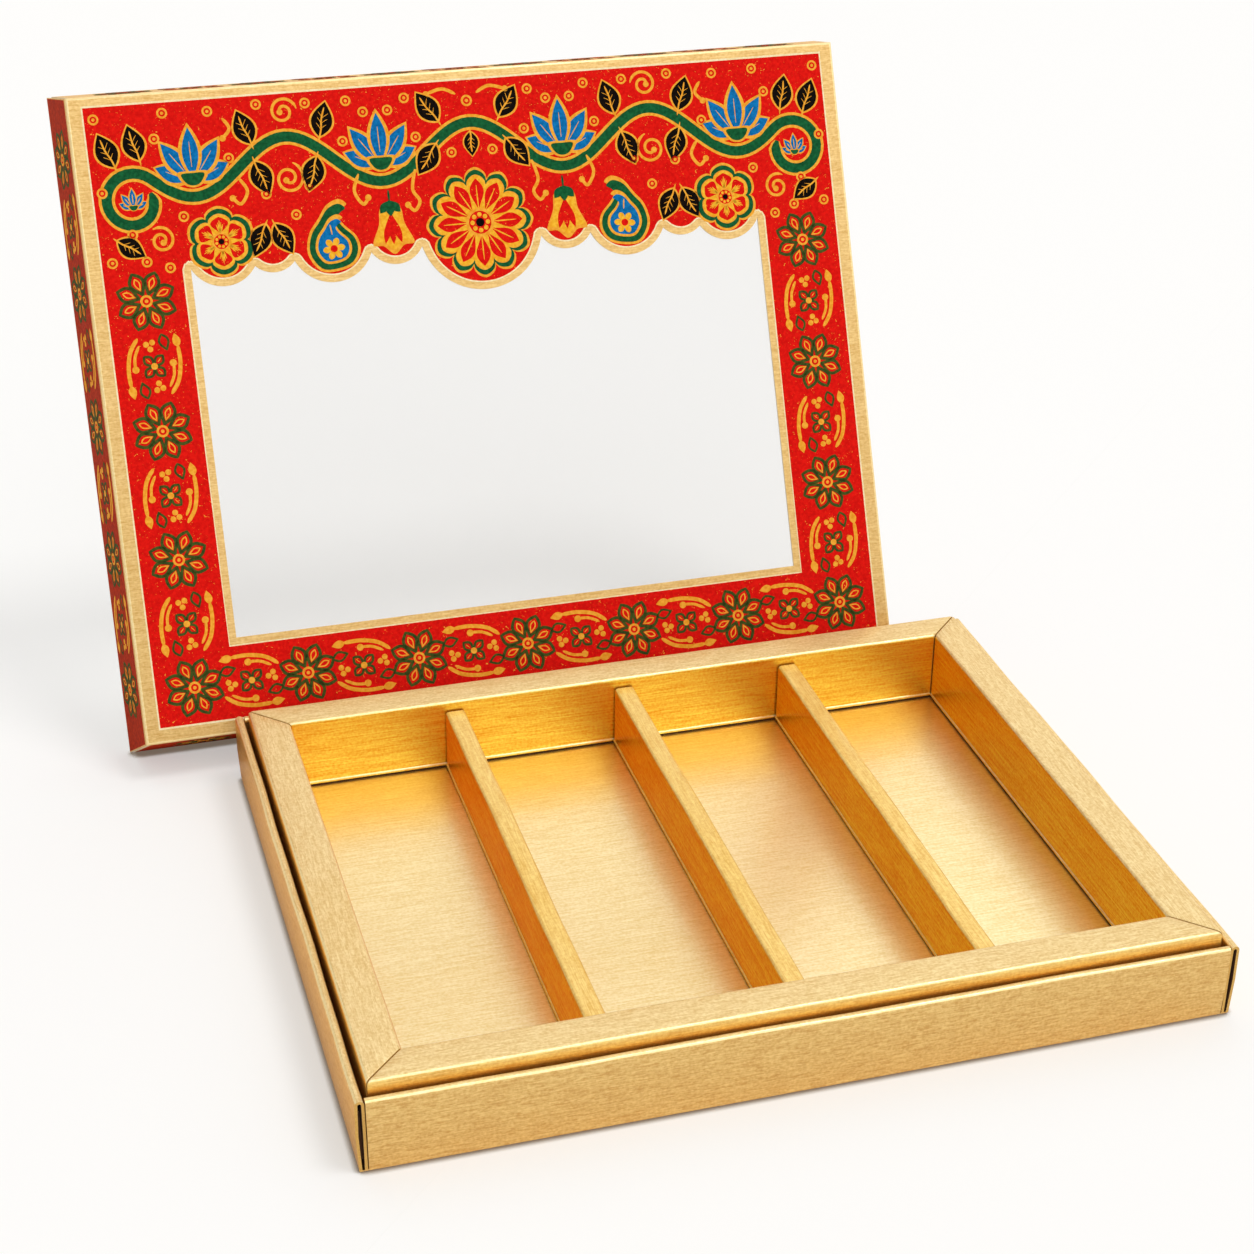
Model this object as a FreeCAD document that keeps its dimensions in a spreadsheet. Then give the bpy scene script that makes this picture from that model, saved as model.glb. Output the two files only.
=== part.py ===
import FreeCAD, Part
import os
import Sketcher

# A flat sweet box of gold board: a base tray, a lift-out insert with rim rails and three dividers,
# and a printed lid with a film window, taken off and standing behind the tray.
# Lengths are in millimetres. The origin is the middle of the base's underside, +X runs along the long
# side, +Y to the back and +Z up.

doc = FreeCAD.newDocument("SweetBox")

# The driving dimensions: name, number and what it measures.
DIMENSIONS = [
    ("board", 0.8, "thickness of the gold laminated board"),
    ("base_length", 254, "base outside, along X, at the floor"),
    ("base_depth", 203, "base outside, along Y, at the floor"),
    ("base_wall_height", 23.6, "underside to the top of the wall's hem"),
    ("base_wall_flare", 0.8, "how far a base wall's hem stands outside its foot"),
    ("corner_gap", 0.5, "gap between a front or back wall's end and the side wall"),
    ("tab_clearance", 0.1, "gap between a corner tab and the ply beside it"),
    ("tab_length", 30, "length of a corner tab along its wall"),
    ("tab_margin", 2, "a corner tab's set-back from floor, fold and wall end"),
    ("insert_gap", 0.6, "gap between the insert and the base wall's foot"),
    ("rail_height", 26.4, "rim rail, from the base floor to its top"),
    ("rail_width", 11.9, "rim rail, across its flat top"),
    ("fold_radius", 0.6, "inside radius of the folds of rails and dividers"),
    ("mitre_gap", 0.2, "how far a mitred or slanted end stands back from its corner"),
    ("pad_thickness", 2.2, "floor pad of the insert"),
    ("pad_clearance", 0.2, "gap between the pad's edge and the rails"),
    ("divider_width", 6.5, "divider, across its top"),
    ("divider_drop", 3.3, "divider's top below the rim"),
    ("divider_clearance", 0.3, "gap between a divider's end and the rail"),
    ("lid_board", 0.8, "thickness of the lid's printed board"),
    ("lid_clearance", 3.5, "lid's edge beyond the base's outside, each side"),
    ("lid_wall_depth", 24, "lid wall, from the face to its free edge"),
    ("lid_wall_flare", 4.2, "how far a lid wall's free edge stands outside its fold"),
    ("lid_set_back", 87.4, "standing lid's upper edge, behind its lower edge"),
    ("lid_foot_gap", 26, "base's back to the edge that the lid stands on"),
    ("lid_left_shift", 25.7, "standing lid's middle, left of the tray's middle"),
    ("window_side_margin", 33.2, "lid's edge to the window, left and right"),
    ("window_lower_margin", 31.5, "lid's lower edge to the window"),
    ("window_height", 126.5, "window, from its lower edge to the line that the lobes hang from"),
    ("lobe_middle_radius", 21, "lobe in the middle of the window's upper edge"),
    ("lobe_bud_radius", 10, "small lobe beside the middle one"),
    ("lobe_main_radius", 14, "larger lobe between two small ones"),
    ("lobe_leaf_radius", 9, "small lobe outside the larger one"),
    ("lobe_end_radius", 12, "lobe by the window's upper corner"),
    ("film_thickness", 0.25, "clear window film"),
    ("film_margin", 8, "film beyond the window, all round"),
    ("overrun", 5, "how far a cut runs past the solid"),
]

sheet = doc.addObject("Spreadsheet::Sheet", "Sizes")
for row, (name, number, meaning) in enumerate(DIMENSIONS, start=1):
    sheet.set(f"A{row}", name)
    sheet.set(f"B{row}", str(number))
    sheet.set(f"C{row}", meaning)
    sheet.setAlias(f"B{row}", name)
doc.recompute()

# Sizes that follow from the driving ones, as expressions over the sheet.
# A base wall is two plies with a corner tab between them.
BASE_WALL_WIDTH = "(3 * Sizes.board + 2 * Sizes.tab_clearance)"
BASE_WALL_RISE = "(Sizes.base_wall_height - Sizes.board)"
BASE_WALL_SPLAY = f"asin(Sizes.base_wall_flare / {BASE_WALL_RISE})"
INSERT_LENGTH = f"(Sizes.base_length - 2 * ({BASE_WALL_WIDTH} + Sizes.insert_gap))"
INSERT_DEPTH = f"(Sizes.base_depth - 2 * ({BASE_WALL_WIDTH} + Sizes.insert_gap))"
OPENING_LENGTH = f"({INSERT_LENGTH} - 2 * Sizes.rail_width)"
OPENING_DEPTH = f"({INSERT_DEPTH} - 2 * Sizes.rail_width)"
LID_LENGTH = "(Sizes.base_length + 2 * Sizes.lid_clearance)"
LID_DEPTH = "(Sizes.base_depth + 2 * Sizes.lid_clearance)"
LID_WALL_SPLAY = "asin(Sizes.lid_wall_flare / Sizes.lid_wall_depth)"
WINDOW_LENGTH = f"({LID_LENGTH} - 2 * Sizes.window_side_margin)"
WINDOW_LOWER = f"(Sizes.window_lower_margin - {LID_DEPTH} / 2)"
WINDOW_UPPER = f"({WINDOW_LOWER} + Sizes.window_height)"

# Quarter turns that put a wall on each side. Its outside then faces front, right, back or left.
QUARTER_TURN = 90
SIDES = {"front": 0, "right": QUARTER_TURN, "back": 2 * QUARTER_TURN, "left": 3 * QUARTER_TURN}

subparts = []


def value(expression):
    """The number that an expression over the sheet gives."""
    return float(sheet.evalExpression(expression))


def new_body(label):
    """An empty body that becomes one sub-part."""
    body = doc.addObject("PartDesign::Body", label)
    body.Label = label
    subparts.append(body)
    return body


def new_sketch(body, plane_role):
    """A sketch on one of the body's own origin planes."""
    sketch = body.newObject("Sketcher::SketchObject", f"{body.Label}_sketch")
    plane = [feature for feature in body.Origin.OriginFeatures if feature.Role == plane_role][0]
    sketch.AttachmentSupport = [(plane, "")]
    sketch.MapMode = "FlatFace"
    return sketch


def bind(thing, **expressions):
    """Bind properties to expressions; x, y and z are the parts of a Placement's Base."""
    for name, expression in expressions.items():
        path = f"Placement.Base.{name}" if name in ("x", "y", "z") else name
        thing.setExpression(path, expression)


def shift_sketch(sketch, across="0", up="0", out="0", turn="0"):
    """Move a sketch within its plane, out of it, and turn it about its own origin."""
    sketch.setExpression("AttachmentOffset.Base.x", across)
    sketch.setExpression("AttachmentOffset.Base.y", up)
    sketch.setExpression("AttachmentOffset.Base.z", out)
    sketch.setExpression("AttachmentOffset.Rotation.Angle", turn)


def fix_point(sketch, geometry, position, across, up):
    """Hold one point of the sketch at a place given by two expressions; None leaves that way free."""
    for kind, expression in (("DistanceX", across), ("DistanceY", up)):
        if expression is not None:
            held = Sketcher.Constraint(kind, -1, 1, geometry, position, value(expression))
            number = sketch.addConstraint(held)
            sketch.setExpression(f"Constraints[{number}]", expression)


def draw_outline(sketch, corners, folds=None):
    """A closed outline through corners. folds gives the centre of each side that is a round fold."""
    folds = folds or {}
    first = sketch.GeometryCount
    points = [FreeCAD.Vector(value(across), value(up), 0) for across, up in corners]
    count = len(points)
    for side, start in enumerate(points):
        end = points[(side + 1) % count]
        if side in folds:
            centre = FreeCAD.Vector(*(value(expression) for expression in folds[side]), 0)
            towards = (start + end) / 2 - centre
            if towards.Length < FreeCAD.Base.Precision.confusion():
                towards = FreeCAD.Vector(0, 1, 0)
            middle = centre + towards.normalize() * (start - centre).Length
            sketch.addGeometry(Part.Arc(start, middle, end))
        else:
            sketch.addGeometry(Part.LineSegment(start, end))
    # The sketch keeps every arc counter-clockwise, so each side's starting end is looked up.
    starts = []
    for side, start in enumerate(points):
        gap_at = [(sketch.getPoint(first + side, end) - start).Length for end in (1, 2)]
        starts.append(1 if gap_at[0] <= gap_at[1] else 2)
    for side, (across, up) in enumerate(corners):
        following = (side + 1) % count
        sketch.addConstraint(Sketcher.Constraint(
            "Coincident", first + side, 3 - starts[side], first + following, starts[following]))
        fix_point(sketch, first + side, starts[side], across, up)
        if side in folds:
            fix_point(sketch, first + side, 3, None, folds[side][1])


def draw_rectangle(sketch, left, lower, right, upper):
    draw_outline(sketch, [(left, lower), (left, upper), (right, upper), (right, lower)])


def pad(body, sketch, length, symmetric=False, reverse=False):
    """Thicken a sketch, to both sides of its plane alike if symmetric."""
    feature = body.newObject("PartDesign::Pad", f"{sketch.Label}_pad")
    feature.Profile = sketch
    feature.SideType = "Symmetric" if symmetric else "One side"
    feature.Reversed = reverse
    bind(feature, Length=length)
    return feature


def hairpin_section(sketch, width, height):
    """Board folded back on itself over a half-round hem."""
    ply = "Sizes.board"
    spring = f"({height} - {width} / 2)"
    centre = (f"{width} / 2", spring)
    corners = [
        ("0", "0"), ("0", spring), (width, spring), (width, "0"),
        (f"{width} - {ply}", "0"), (f"{width} - {ply}", spring), (ply, spring), (ply, "0"),
    ]
    draw_outline(sketch, corners, {1: centre, 5: centre})


def channel_section(sketch, width, height):
    """Board folded into an upside-down U with a flat top and two rounded folds."""
    ply = "Sizes.board"
    bend = f"(Sizes.fold_radius + {ply})"
    spring = f"({height} - {bend})"
    near = (bend, spring)
    far = (f"{width} - {bend}", spring)
    corners = [
        ("0", "0"), ("0", spring), (bend, height), (f"{width} - {bend}", height),
        (width, spring), (width, "0"), (f"{width} - {ply}", "0"), (f"{width} - {ply}", spring),
        (f"{width} - {bend}", f"{height} - {ply}"), (bend, f"{height} - {ply}"), (ply, spring), (ply, "0"),
    ]
    draw_outline(sketch, corners, {1: near, 3: far, 7: far, 9: near})


def plate(label, length, depth, height, lift):
    """A flat plate, centred on the tray."""
    box = doc.addObject("Part::Box", label)
    box.Label = label
    bind(box, Length=length, Width=depth, Height=height,
         x=f"-{length} / 2", y=f"-{depth} / 2", z=lift)
    subparts.append(box)


def stand_on_side(body, side, length, depth, lift):
    """Turn a body made for the front to a side, its outside on a rectangle of length by depth."""
    along_x = side in ("left", "right")
    sign = "-" if side in ("front", "left") else ""
    body.Placement = FreeCAD.Placement(
        FreeCAD.Vector(), FreeCAD.Rotation(FreeCAD.Vector(0, 0, 1), SIDES[side]))
    bind(body, x=f"{sign}{length} / 2" if along_x else "0",
         y="0" if along_x else f"{sign}{depth} / 2", z=lift)


def on_base_side(body, side):
    stand_on_side(body, side, "Sizes.base_length", "Sizes.base_depth", "Sizes.board")


# Base: the floor panel, and four double walls that stand on its edge and lean out a little.
plate("base_floor", "Sizes.base_length", "Sizes.base_depth", "Sizes.board", "0")

# The side walls run the whole depth, so their folds show at the corners; the others fit between them.
BASE_WALL_LENGTH = {
    "front": f"Sizes.base_length - 2 * ({BASE_WALL_WIDTH} + Sizes.corner_gap)",
    "left": "Sizes.base_depth",
}
BASE_WALL_LENGTH["back"] = BASE_WALL_LENGTH["front"]
BASE_WALL_LENGTH["right"] = BASE_WALL_LENGTH["left"]

for side in SIDES:
    body = new_body(f"base_{side}_wall")
    sketch = new_sketch(body, "YZ_Plane")
    shift_sketch(sketch, turn=BASE_WALL_SPLAY)
    hairpin_section(sketch, BASE_WALL_WIDTH, BASE_WALL_RISE)
    pad(body, sketch, BASE_WALL_LENGTH[side], symmetric=True)
    on_base_side(body, side)

# Corner tabs of the base, between the two plies of the side walls.
TAB_RUN = "(Sizes.base_depth / 2 - Sizes.tab_margin - Sizes.tab_length / 2)"
# A side wall's own +X end lies at the back on the right and at the front on the left.
TAB_ENDS = {("left", "front"): "", ("left", "back"): "-", ("right", "front"): "-", ("right", "back"): ""}

for (side, end), sign in TAB_ENDS.items():
    body = new_body(f"base_tab_{end}_{side}")
    sketch = new_sketch(body, "YZ_Plane")
    shift_sketch(sketch, out=f"{sign}{TAB_RUN}", turn=BASE_WALL_SPLAY)
    draw_rectangle(sketch, "Sizes.board + Sizes.tab_clearance", "Sizes.tab_margin",
                   "2 * Sizes.board + Sizes.tab_clearance",
                   f"{BASE_WALL_RISE} - {BASE_WALL_WIDTH} - Sizes.tab_margin")
    pad(body, sketch, "Sizes.tab_length", symmetric=True)
    on_base_side(body, side)

# Insert: a floor pad inside four hollow rim rails, mitred where they meet.
plate("insert_pad", f"({OPENING_LENGTH} - 2 * Sizes.pad_clearance)",
      f"({OPENING_DEPTH} - 2 * Sizes.pad_clearance)", "Sizes.pad_thickness", "Sizes.board")


def cut_mitres(body, length):
    """Cut both ends of a rail at 45 degrees, a little inside the diagonal."""
    sketch = new_sketch(body, "XY_Plane")
    tip = f"({length} / 2 - Sizes.mitre_gap)"
    past = f"({length} / 2 + Sizes.overrun)"
    across = "(Sizes.rail_width + Sizes.overrun)"
    for sign in ("", "-"):
        draw_outline(sketch, [
            (f"{sign}({tip} + Sizes.overrun)", "-Sizes.overrun"), (f"{sign}{past}", "-Sizes.overrun"),
            (f"{sign}{past}", across), (f"{sign}({tip} - {across})", across),
        ])
    doc.recompute()
    whole = body.Shape.Volume
    pocket = body.newObject("PartDesign::Pocket", f"{body.Label}_mitres")
    pocket.Profile = sketch
    pocket.Type = "ThroughAll"
    pocket.Reversed = True
    doc.recompute()
    if body.Shape.Volume >= whole:
        raise RuntimeError(f"{body.Label}: the mitres cut nothing")


for side in SIDES:
    body = new_body(f"insert_{side}_rail")
    length = INSERT_DEPTH if side in ("left", "right") else INSERT_LENGTH
    sketch = new_sketch(body, "YZ_Plane")
    channel_section(sketch, "Sizes.rail_width", "Sizes.rail_height")
    pad(body, sketch, length, symmetric=True)
    cut_mitres(body, length)
    stand_on_side(body, side, INSERT_LENGTH, INSERT_DEPTH, "Sizes.board")

# Dividers: three folded strips on the pad, which part the opening into four equal compartments.
DIVIDERS = ["divider_left", "divider_middle", "divider_right"]
COMPARTMENT = f"(({OPENING_LENGTH} - {len(DIVIDERS)} * Sizes.divider_width) / {len(DIVIDERS) + 1})"
DIVIDER_HEIGHT = "(Sizes.rail_height - Sizes.pad_thickness - Sizes.divider_drop)"

for place, label in enumerate(DIVIDERS):
    body = new_body(label)
    sketch = new_sketch(body, "XZ_Plane")
    channel_section(sketch, "Sizes.divider_width", DIVIDER_HEIGHT)
    pad(body, sketch, f"{OPENING_DEPTH} - 2 * Sizes.divider_clearance", symmetric=True)
    bind(body, z="Sizes.board + Sizes.pad_thickness",
         x=f"{place + 1} * {COMPARTMENT} + {place} * Sizes.divider_width - {OPENING_LENGTH} / 2")

# Lid: drawn closed, face up, with its outside at height 0 and the walls hanging down, then tipped up
# about X until it leans back on the free edge of its lower wall.
LID_TIP = f"acos(Sizes.lid_set_back / {LID_DEPTH})"
FOOT_BACK = f"({LID_DEPTH} / 2 + Sizes.lid_wall_flare)"
FOOT_DOWN = f"(Sizes.lid_board + Sizes.lid_wall_depth * cos({LID_WALL_SPLAY}))"


def stand_lid(body):
    """Tip a lid piece from closed to standing, its foot on the floor behind the tray."""
    body.Placement = FreeCAD.Placement(
        FreeCAD.Vector(), FreeCAD.Rotation(FreeCAD.Vector(1, 0, 0), QUARTER_TURN))
    body.setExpression("Placement.Rotation.Angle", LID_TIP)
    bind(body, x="-Sizes.lid_left_shift",
         y=(f"Sizes.base_depth / 2 + Sizes.lid_foot_gap + {FOOT_BACK} * cos({LID_TIP})"
            f" - {FOOT_DOWN} * sin({LID_TIP})"),
         z=f"{FOOT_BACK} * sin({LID_TIP}) + {FOOT_DOWN} * cos({LID_TIP})")


def hang_lobe(body, radius, place):
    """A round lobe that hangs from the window's upper edge, and its twin on the other side."""
    sketch = new_sketch(body, "XY_Plane")
    sketch.addGeometry(Part.Circle(FreeCAD.Vector(value(place), value(WINDOW_UPPER), 0),
                                   FreeCAD.Vector(0, 0, 1), value(radius)))
    fix_point(sketch, 0, 3, place, WINDOW_UPPER)
    number = sketch.addConstraint(Sketcher.Constraint("Radius", 0, value(radius)))
    sketch.setExpression(f"Constraints[{number}]", radius)
    lobe = pad(body, sketch, "Sizes.lid_board", reverse=True)
    if value(place):
        doc.recompute()
        twin = body.newObject("PartDesign::Mirrored", f"{sketch.Label}_twin")
        twin.Originals = [lobe]
        twin.MirrorPlane = (sketch, ["V_Axis"])
        body.Tip = twin


# Where the lobes hang, as shares of half the window's length, from its middle outwards.
LOBE_PLACE_SHARES = {"middle": 0, "bud": 0.3, "main": 0.52, "leaf": 0.72, "end": 0.89}

body = new_body("lid_face")
sketch = new_sketch(body, "XY_Plane")
draw_rectangle(sketch, f"-{LID_LENGTH} / 2", f"-{LID_DEPTH} / 2", f"{LID_LENGTH} / 2", f"{LID_DEPTH} / 2")
draw_rectangle(sketch, f"-{WINDOW_LENGTH} / 2", WINDOW_LOWER, f"{WINDOW_LENGTH} / 2", WINDOW_UPPER)
pad(body, sketch, "Sizes.lid_board", reverse=True)
for name, share in LOBE_PLACE_SHARES.items():
    hang_lobe(body, f"Sizes.lobe_{name}_radius", f"{share} * {WINDOW_LENGTH} / 2")
stand_lid(body)

# The film lies against the inside of the face.
body = new_body("lid_film")
sketch = new_sketch(body, "XY_Plane")
shift_sketch(sketch, out="-Sizes.lid_board")
draw_rectangle(sketch, f"-{WINDOW_LENGTH} / 2 - Sizes.film_margin", f"{WINDOW_LOWER} - Sizes.film_margin",
               f"{WINDOW_LENGTH} / 2 + Sizes.film_margin", f"{WINDOW_UPPER} + Sizes.film_margin")
pad(body, sketch, "Sizes.film_thickness", reverse=True)
stand_lid(body)

# Each lid wall: the plane that its outside is turned from, 1 where that plane's front looks out of the lid
# and -1 where it looks in, the lid across the wall, and the wall's length along its fold.
# The lower and upper walls fit between the other two.
SHORT_OF_CORNERS = f"({LID_LENGTH} - 2 * (Sizes.lid_board + Sizes.corner_gap))"
LID_WALLS = {
    "lower": ("XZ_Plane", 1, LID_DEPTH, SHORT_OF_CORNERS),
    "upper": ("XZ_Plane", -1, LID_DEPTH, SHORT_OF_CORNERS),
    "left": ("YZ_Plane", -1, LID_LENGTH, LID_DEPTH),
    "right": ("YZ_Plane", 1, LID_LENGTH, LID_DEPTH),
}

for name, (plane_role, facing, across, length) in LID_WALLS.items():
    body = new_body(f"lid_{name}_wall")
    sketch = new_sketch(body, plane_role)
    sketch.AttachmentOffset = FreeCAD.Placement(
        FreeCAD.Vector(), FreeCAD.Rotation(FreeCAD.Vector(1, 0, 0), QUARTER_TURN))
    shift_sketch(sketch, up="-Sizes.lid_board", out=f"{facing} * {across} / 2",
                 turn=f"{-facing} * {LID_WALL_SPLAY}")
    # The ends are slanted, so that each wall reaches its neighbours along the whole flare, and the free
    # edge stands back a little from the corner.
    free_half = f"({length} / 2 + Sizes.lid_wall_flare - Sizes.mitre_gap)"
    draw_outline(sketch, [(f"-{length} / 2", "0"), (f"{length} / 2", "0"),
                          (free_half, "-Sizes.lid_wall_depth"), (f"-{free_half}", "-Sizes.lid_wall_depth")])
    pad(body, sketch, "Sizes.lid_board", reverse=facing > 0)
    stand_lid(body)

# Corner tabs of the lid, glued to the inside of its left and right walls. The section's plane faces the
# lid's lower edge, and its origin is the wall's fold.
LID_TAB_RUN = f"({LID_DEPTH} / 2 - Sizes.lid_board - Sizes.tab_margin - Sizes.tab_length / 2)"

for name, sign in (("left", -1), ("right", 1)):
    for end, end_sign in (("lower", ""), ("upper", "-")):
        body = new_body(f"lid_tab_{end}_{name}")
        sketch = new_sketch(body, "XZ_Plane")
        shift_sketch(sketch, across=f"{sign} * {LID_LENGTH} / 2", up="-Sizes.lid_board",
                     out=f"{end_sign}{LID_TAB_RUN}", turn=f"{sign} * {LID_WALL_SPLAY}")
        draw_rectangle(sketch, f"{-sign} * (Sizes.lid_board + Sizes.tab_clearance)",
                       "Sizes.tab_margin - Sizes.lid_wall_depth",
                       f"{-sign} * (2 * Sizes.lid_board + Sizes.tab_clearance)", "-Sizes.tab_margin")
        pad(body, sketch, "Sizes.tab_length", symmetric=True)
        stand_lid(body)

doc.recompute()

# Nothing is written unless every object of the document is sound.
for thing in doc.Objects:
    if "Invalid" in thing.State or "Error" in thing.State:
        raise RuntimeError(f"{thing.Label}: {thing.State}")
for thing in subparts:
    if thing.Shape.isNull() or not thing.Shape.isValid() or len(thing.Shape.Solids) != 1:
        raise RuntimeError(f"{thing.Label} is not one sound solid")

os.makedirs("parts", exist_ok=True)
CUBIC_MM_PER_CUBIC_CM = 1000
for thing in subparts:
    thing.Shape.exportStep(os.path.join("parts", f"{thing.Label}.step"))
    box = thing.Shape.BoundBox
    print(f"{thing.Label}: {box.XLength:.1f} x {box.YLength:.1f} x {box.ZLength:.1f} mm, "
          f"{thing.Shape.Volume / CUBIC_MM_PER_CUBIC_CM:.2f} cm3, lowest {box.ZMin:.2f}")
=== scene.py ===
# %% [markdown]
# # A gold sweet box and its printed lid
# A flat sweet box is folded from thin board: a shallow base, a lift-out insert with a broad rim, three
# dividers, and a lid with a film window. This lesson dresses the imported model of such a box. The model
# gives every size and place, and the meshes here follow it, so nothing has to be fitted by eye.

# %% Load the frame
import cmath
import math
from functools import partial

import bmesh
import bpy
from mathutils import Matrix, Vector
from mathutils.geometry import tessellate_polygon


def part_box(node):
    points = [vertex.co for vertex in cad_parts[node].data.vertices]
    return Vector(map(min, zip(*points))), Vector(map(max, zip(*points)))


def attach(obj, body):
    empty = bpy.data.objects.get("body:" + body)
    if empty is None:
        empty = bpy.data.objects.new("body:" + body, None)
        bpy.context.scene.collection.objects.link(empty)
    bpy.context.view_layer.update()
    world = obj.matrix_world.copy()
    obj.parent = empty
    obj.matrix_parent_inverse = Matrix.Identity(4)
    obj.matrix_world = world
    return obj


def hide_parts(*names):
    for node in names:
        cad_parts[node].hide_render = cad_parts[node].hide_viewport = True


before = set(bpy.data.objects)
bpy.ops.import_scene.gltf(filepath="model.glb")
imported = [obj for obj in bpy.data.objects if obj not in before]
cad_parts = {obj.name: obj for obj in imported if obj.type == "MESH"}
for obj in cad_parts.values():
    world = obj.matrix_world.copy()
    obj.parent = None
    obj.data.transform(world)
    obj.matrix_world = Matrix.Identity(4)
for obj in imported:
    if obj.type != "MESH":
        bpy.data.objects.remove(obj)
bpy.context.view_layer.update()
scene = bpy.context.scene
MM = 0.001


def node_box(name):
    """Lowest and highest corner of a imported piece, in millimetres."""
    low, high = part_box(name)
    return low / MM, high / MM


# %% [markdown]
# ## The camera
# The photograph's view was found by matching the corners of tray and lid, which gives the focal length in
# pixels, a place and three angles. A camera in Blender looks along its own -Z, so its rotation is built
# from three axes: right, up, and back towards the viewer. That is surer than typing three rotations.

# %% Camera
UP = Vector((0, 0, 1))
FRAME_PIXELS = 1254
FOCAL_PIXELS = 2531.3
SENSOR_WIDTH = 36.0
AZIMUTH = math.radians(-16.64)
ELEVATION = math.radians(28.64)
ROLL = math.radians(0.59)
CAMERA_PLACE = Vector((-208.6, -615.1, 446.2))

back = Vector((math.sin(AZIMUTH) * math.cos(ELEVATION), -math.cos(AZIMUTH) * math.cos(ELEVATION),
               math.sin(ELEVATION)))
right = Matrix.Rotation(ROLL, 3, back) @ UP.cross(back).normalized()
turned = Matrix((right, back.cross(right), back)).transposed().to_4x4()

camera_data = bpy.data.cameras.new("view")
camera_data.sensor_width = SENSOR_WIDTH
camera_data.lens = SENSOR_WIDTH * FOCAL_PIXELS / FRAME_PIXELS
camera = bpy.data.objects.new("view", camera_data)
camera.matrix_world = Matrix.Translation(CAMERA_PLACE * MM) @ turned
scene.collection.objects.link(camera)
scene.camera = camera
print(f"lens {camera_data.lens:.1f} mm")

# %% [markdown]
# ## Colours and nodes
# Paint chips and screens give colours as sRGB hex values, while a shader works with linear light, so one
# function turns the first into the second. One more adds a node: its settings are set as properties, and
# each input gets a number, a colour, or a link from another node.

# %% Colour and node helpers
def linear(hex_colour):
    """An sRGB hex colour as linear red, green, blue and alpha."""
    channels = [int(hex_colour[place:place + 2], 16) / 255 for place in (1, 3, 5)]
    light = [value / 12.92 if value <= 0.04045 else ((value + 0.055) / 1.055) ** 2.4 for value in channels]
    return light + [1]


def add_node(tree, kind, inputs=None, **settings):
    """Add a shader node with its settings. An input takes a value, an output, or a node's first output."""
    node = tree.nodes.new("ShaderNode" + kind)
    for name, value in settings.items():
        setattr(node, name, value)
    for socket, value in (inputs or {}).items():
        if isinstance(value, bpy.types.Node):
            value = next(output for output in value.outputs if output.enabled)
        if isinstance(value, bpy.types.NodeSocket):
            tree.links.new(value, node.inputs[socket])
        else:
            node.inputs[socket].default_value = value
    return node


def new_material(name):
    """A material with no nodes yet, and the function that adds them."""
    material = bpy.data.materials.new(name)
    material.use_nodes = True
    material.node_tree.nodes.clear()
    return material, partial(add_node, material.node_tree)


print("red ink in linear light:", [round(value, 3) for value in linear("#DF1716")])

# %% [markdown]
# ## Floor and light
# The box stands on a plain white paper sweep, as in a product photograph. A strong lamp could burn the paper
# white, but it would bleach the gold too. So the paper gives off a little light of its own, to the camera
# alone, and in the last millimetres beside what stands on it a painted shade darkens it, where hardly any
# light gets in.

# %% White sweep
FLOOR_SPAN = 40.0
FLOOR_WHITE = "#FCFBF9"
FLOOR_GLOW = 0.45
CONTACT_REACH = 2.8
CONTACT_SHADE = "#988A7A"
CONTACT_SAMPLES = 8
# How open to the sky the paper is where the shade is full, and where it ends.
CONTACT_OPEN = (0.52, 0.88)

material, add = new_material("white_paper_sweep")
rays = add("LightPath").outputs
# The paper's colour goes towards CONTACT_SHADE where the AO node finds it closed in: a painted contact shadow,
# which only camera rays see.
contact = add("AmbientOcclusion", {"Distance": CONTACT_REACH * MM}, samples=CONTACT_SAMPLES)
shade = add("MapRange", {
    "Value": contact.outputs["AO"], "From Min": CONTACT_OPEN[0], "From Max": CONTACT_OPEN[1],
    "To Min": rays["Is Camera Ray"], "To Max": 0.0})
white = add("Mix", {0: shade, 6: linear(FLOOR_WHITE), 7: linear(CONTACT_SHADE)}, data_type="RGBA")
paper = add("BsdfDiffuse", {"Color": white})
backlit = add("Emission", {"Color": white})
glow = add("MapRange", {"Value": rays["Is Camera Ray"], "To Max": FLOOR_GLOW})
lit_paper = add("MixShader", {0: glow, 1: paper, 2: backlit})
add("OutputMaterial", {"Surface": lit_paper})

bpy.ops.mesh.primitive_plane_add(size=FLOOR_SPAN)
floor = bpy.context.object
floor.name = "floor"
floor.data.materials.append(material)
print("paper sweep:", FLOOR_SPAN, "m wide")

# %% [markdown]
# Metal shows what it reflects, so the world is full white to mirrors and to the camera, and less as a lamp,
# which keeps colours at the level they are written at. Its left side is darker, for the gold to reflect.
# Three wide suns are the softboxes. They light the whole floor alike, and the narrowest one leaves a streak
# along the folds.

# %% White world
WORLD_FILL = 0.66
WORLD_SEEN = 1.0
DARK_SIDE = 0.55
DARK_SIDE_ENDS = (-1.0, 0.3)

world = bpy.data.worlds.new("white_studio")
world.use_nodes = True
scene.world = world
world.node_tree.nodes.clear()
add = partial(add_node, world.node_tree)
rays = add("LightPath").outputs
seen = rays["Is Camera Ray"]
for kind in ("Is Glossy Ray", "Is Transmission Ray"):
    seen = add("Math", {0: seen, 1: rays[kind]}, operation="MAXIMUM")
strength = add("MapRange", {"Value": seen, "To Min": WORLD_FILL, "To Max": WORLD_SEEN})
way = add("SeparateXYZ", {0: add("TexCoord").outputs["Generated"]})
side = add("MapRange", {
    "Value": way.outputs["X"], "From Min": DARK_SIDE_ENDS[0], "From Max": DARK_SIDE_ENDS[1],
    "To Min": DARK_SIDE, "To Max": 1.0})
side = add("Math", {0: side, 1: rays["Is Camera Ray"]}, operation="MAXIMUM")
strength = add("Math", {0: strength, 1: side}, operation="MULTIPLY")
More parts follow.
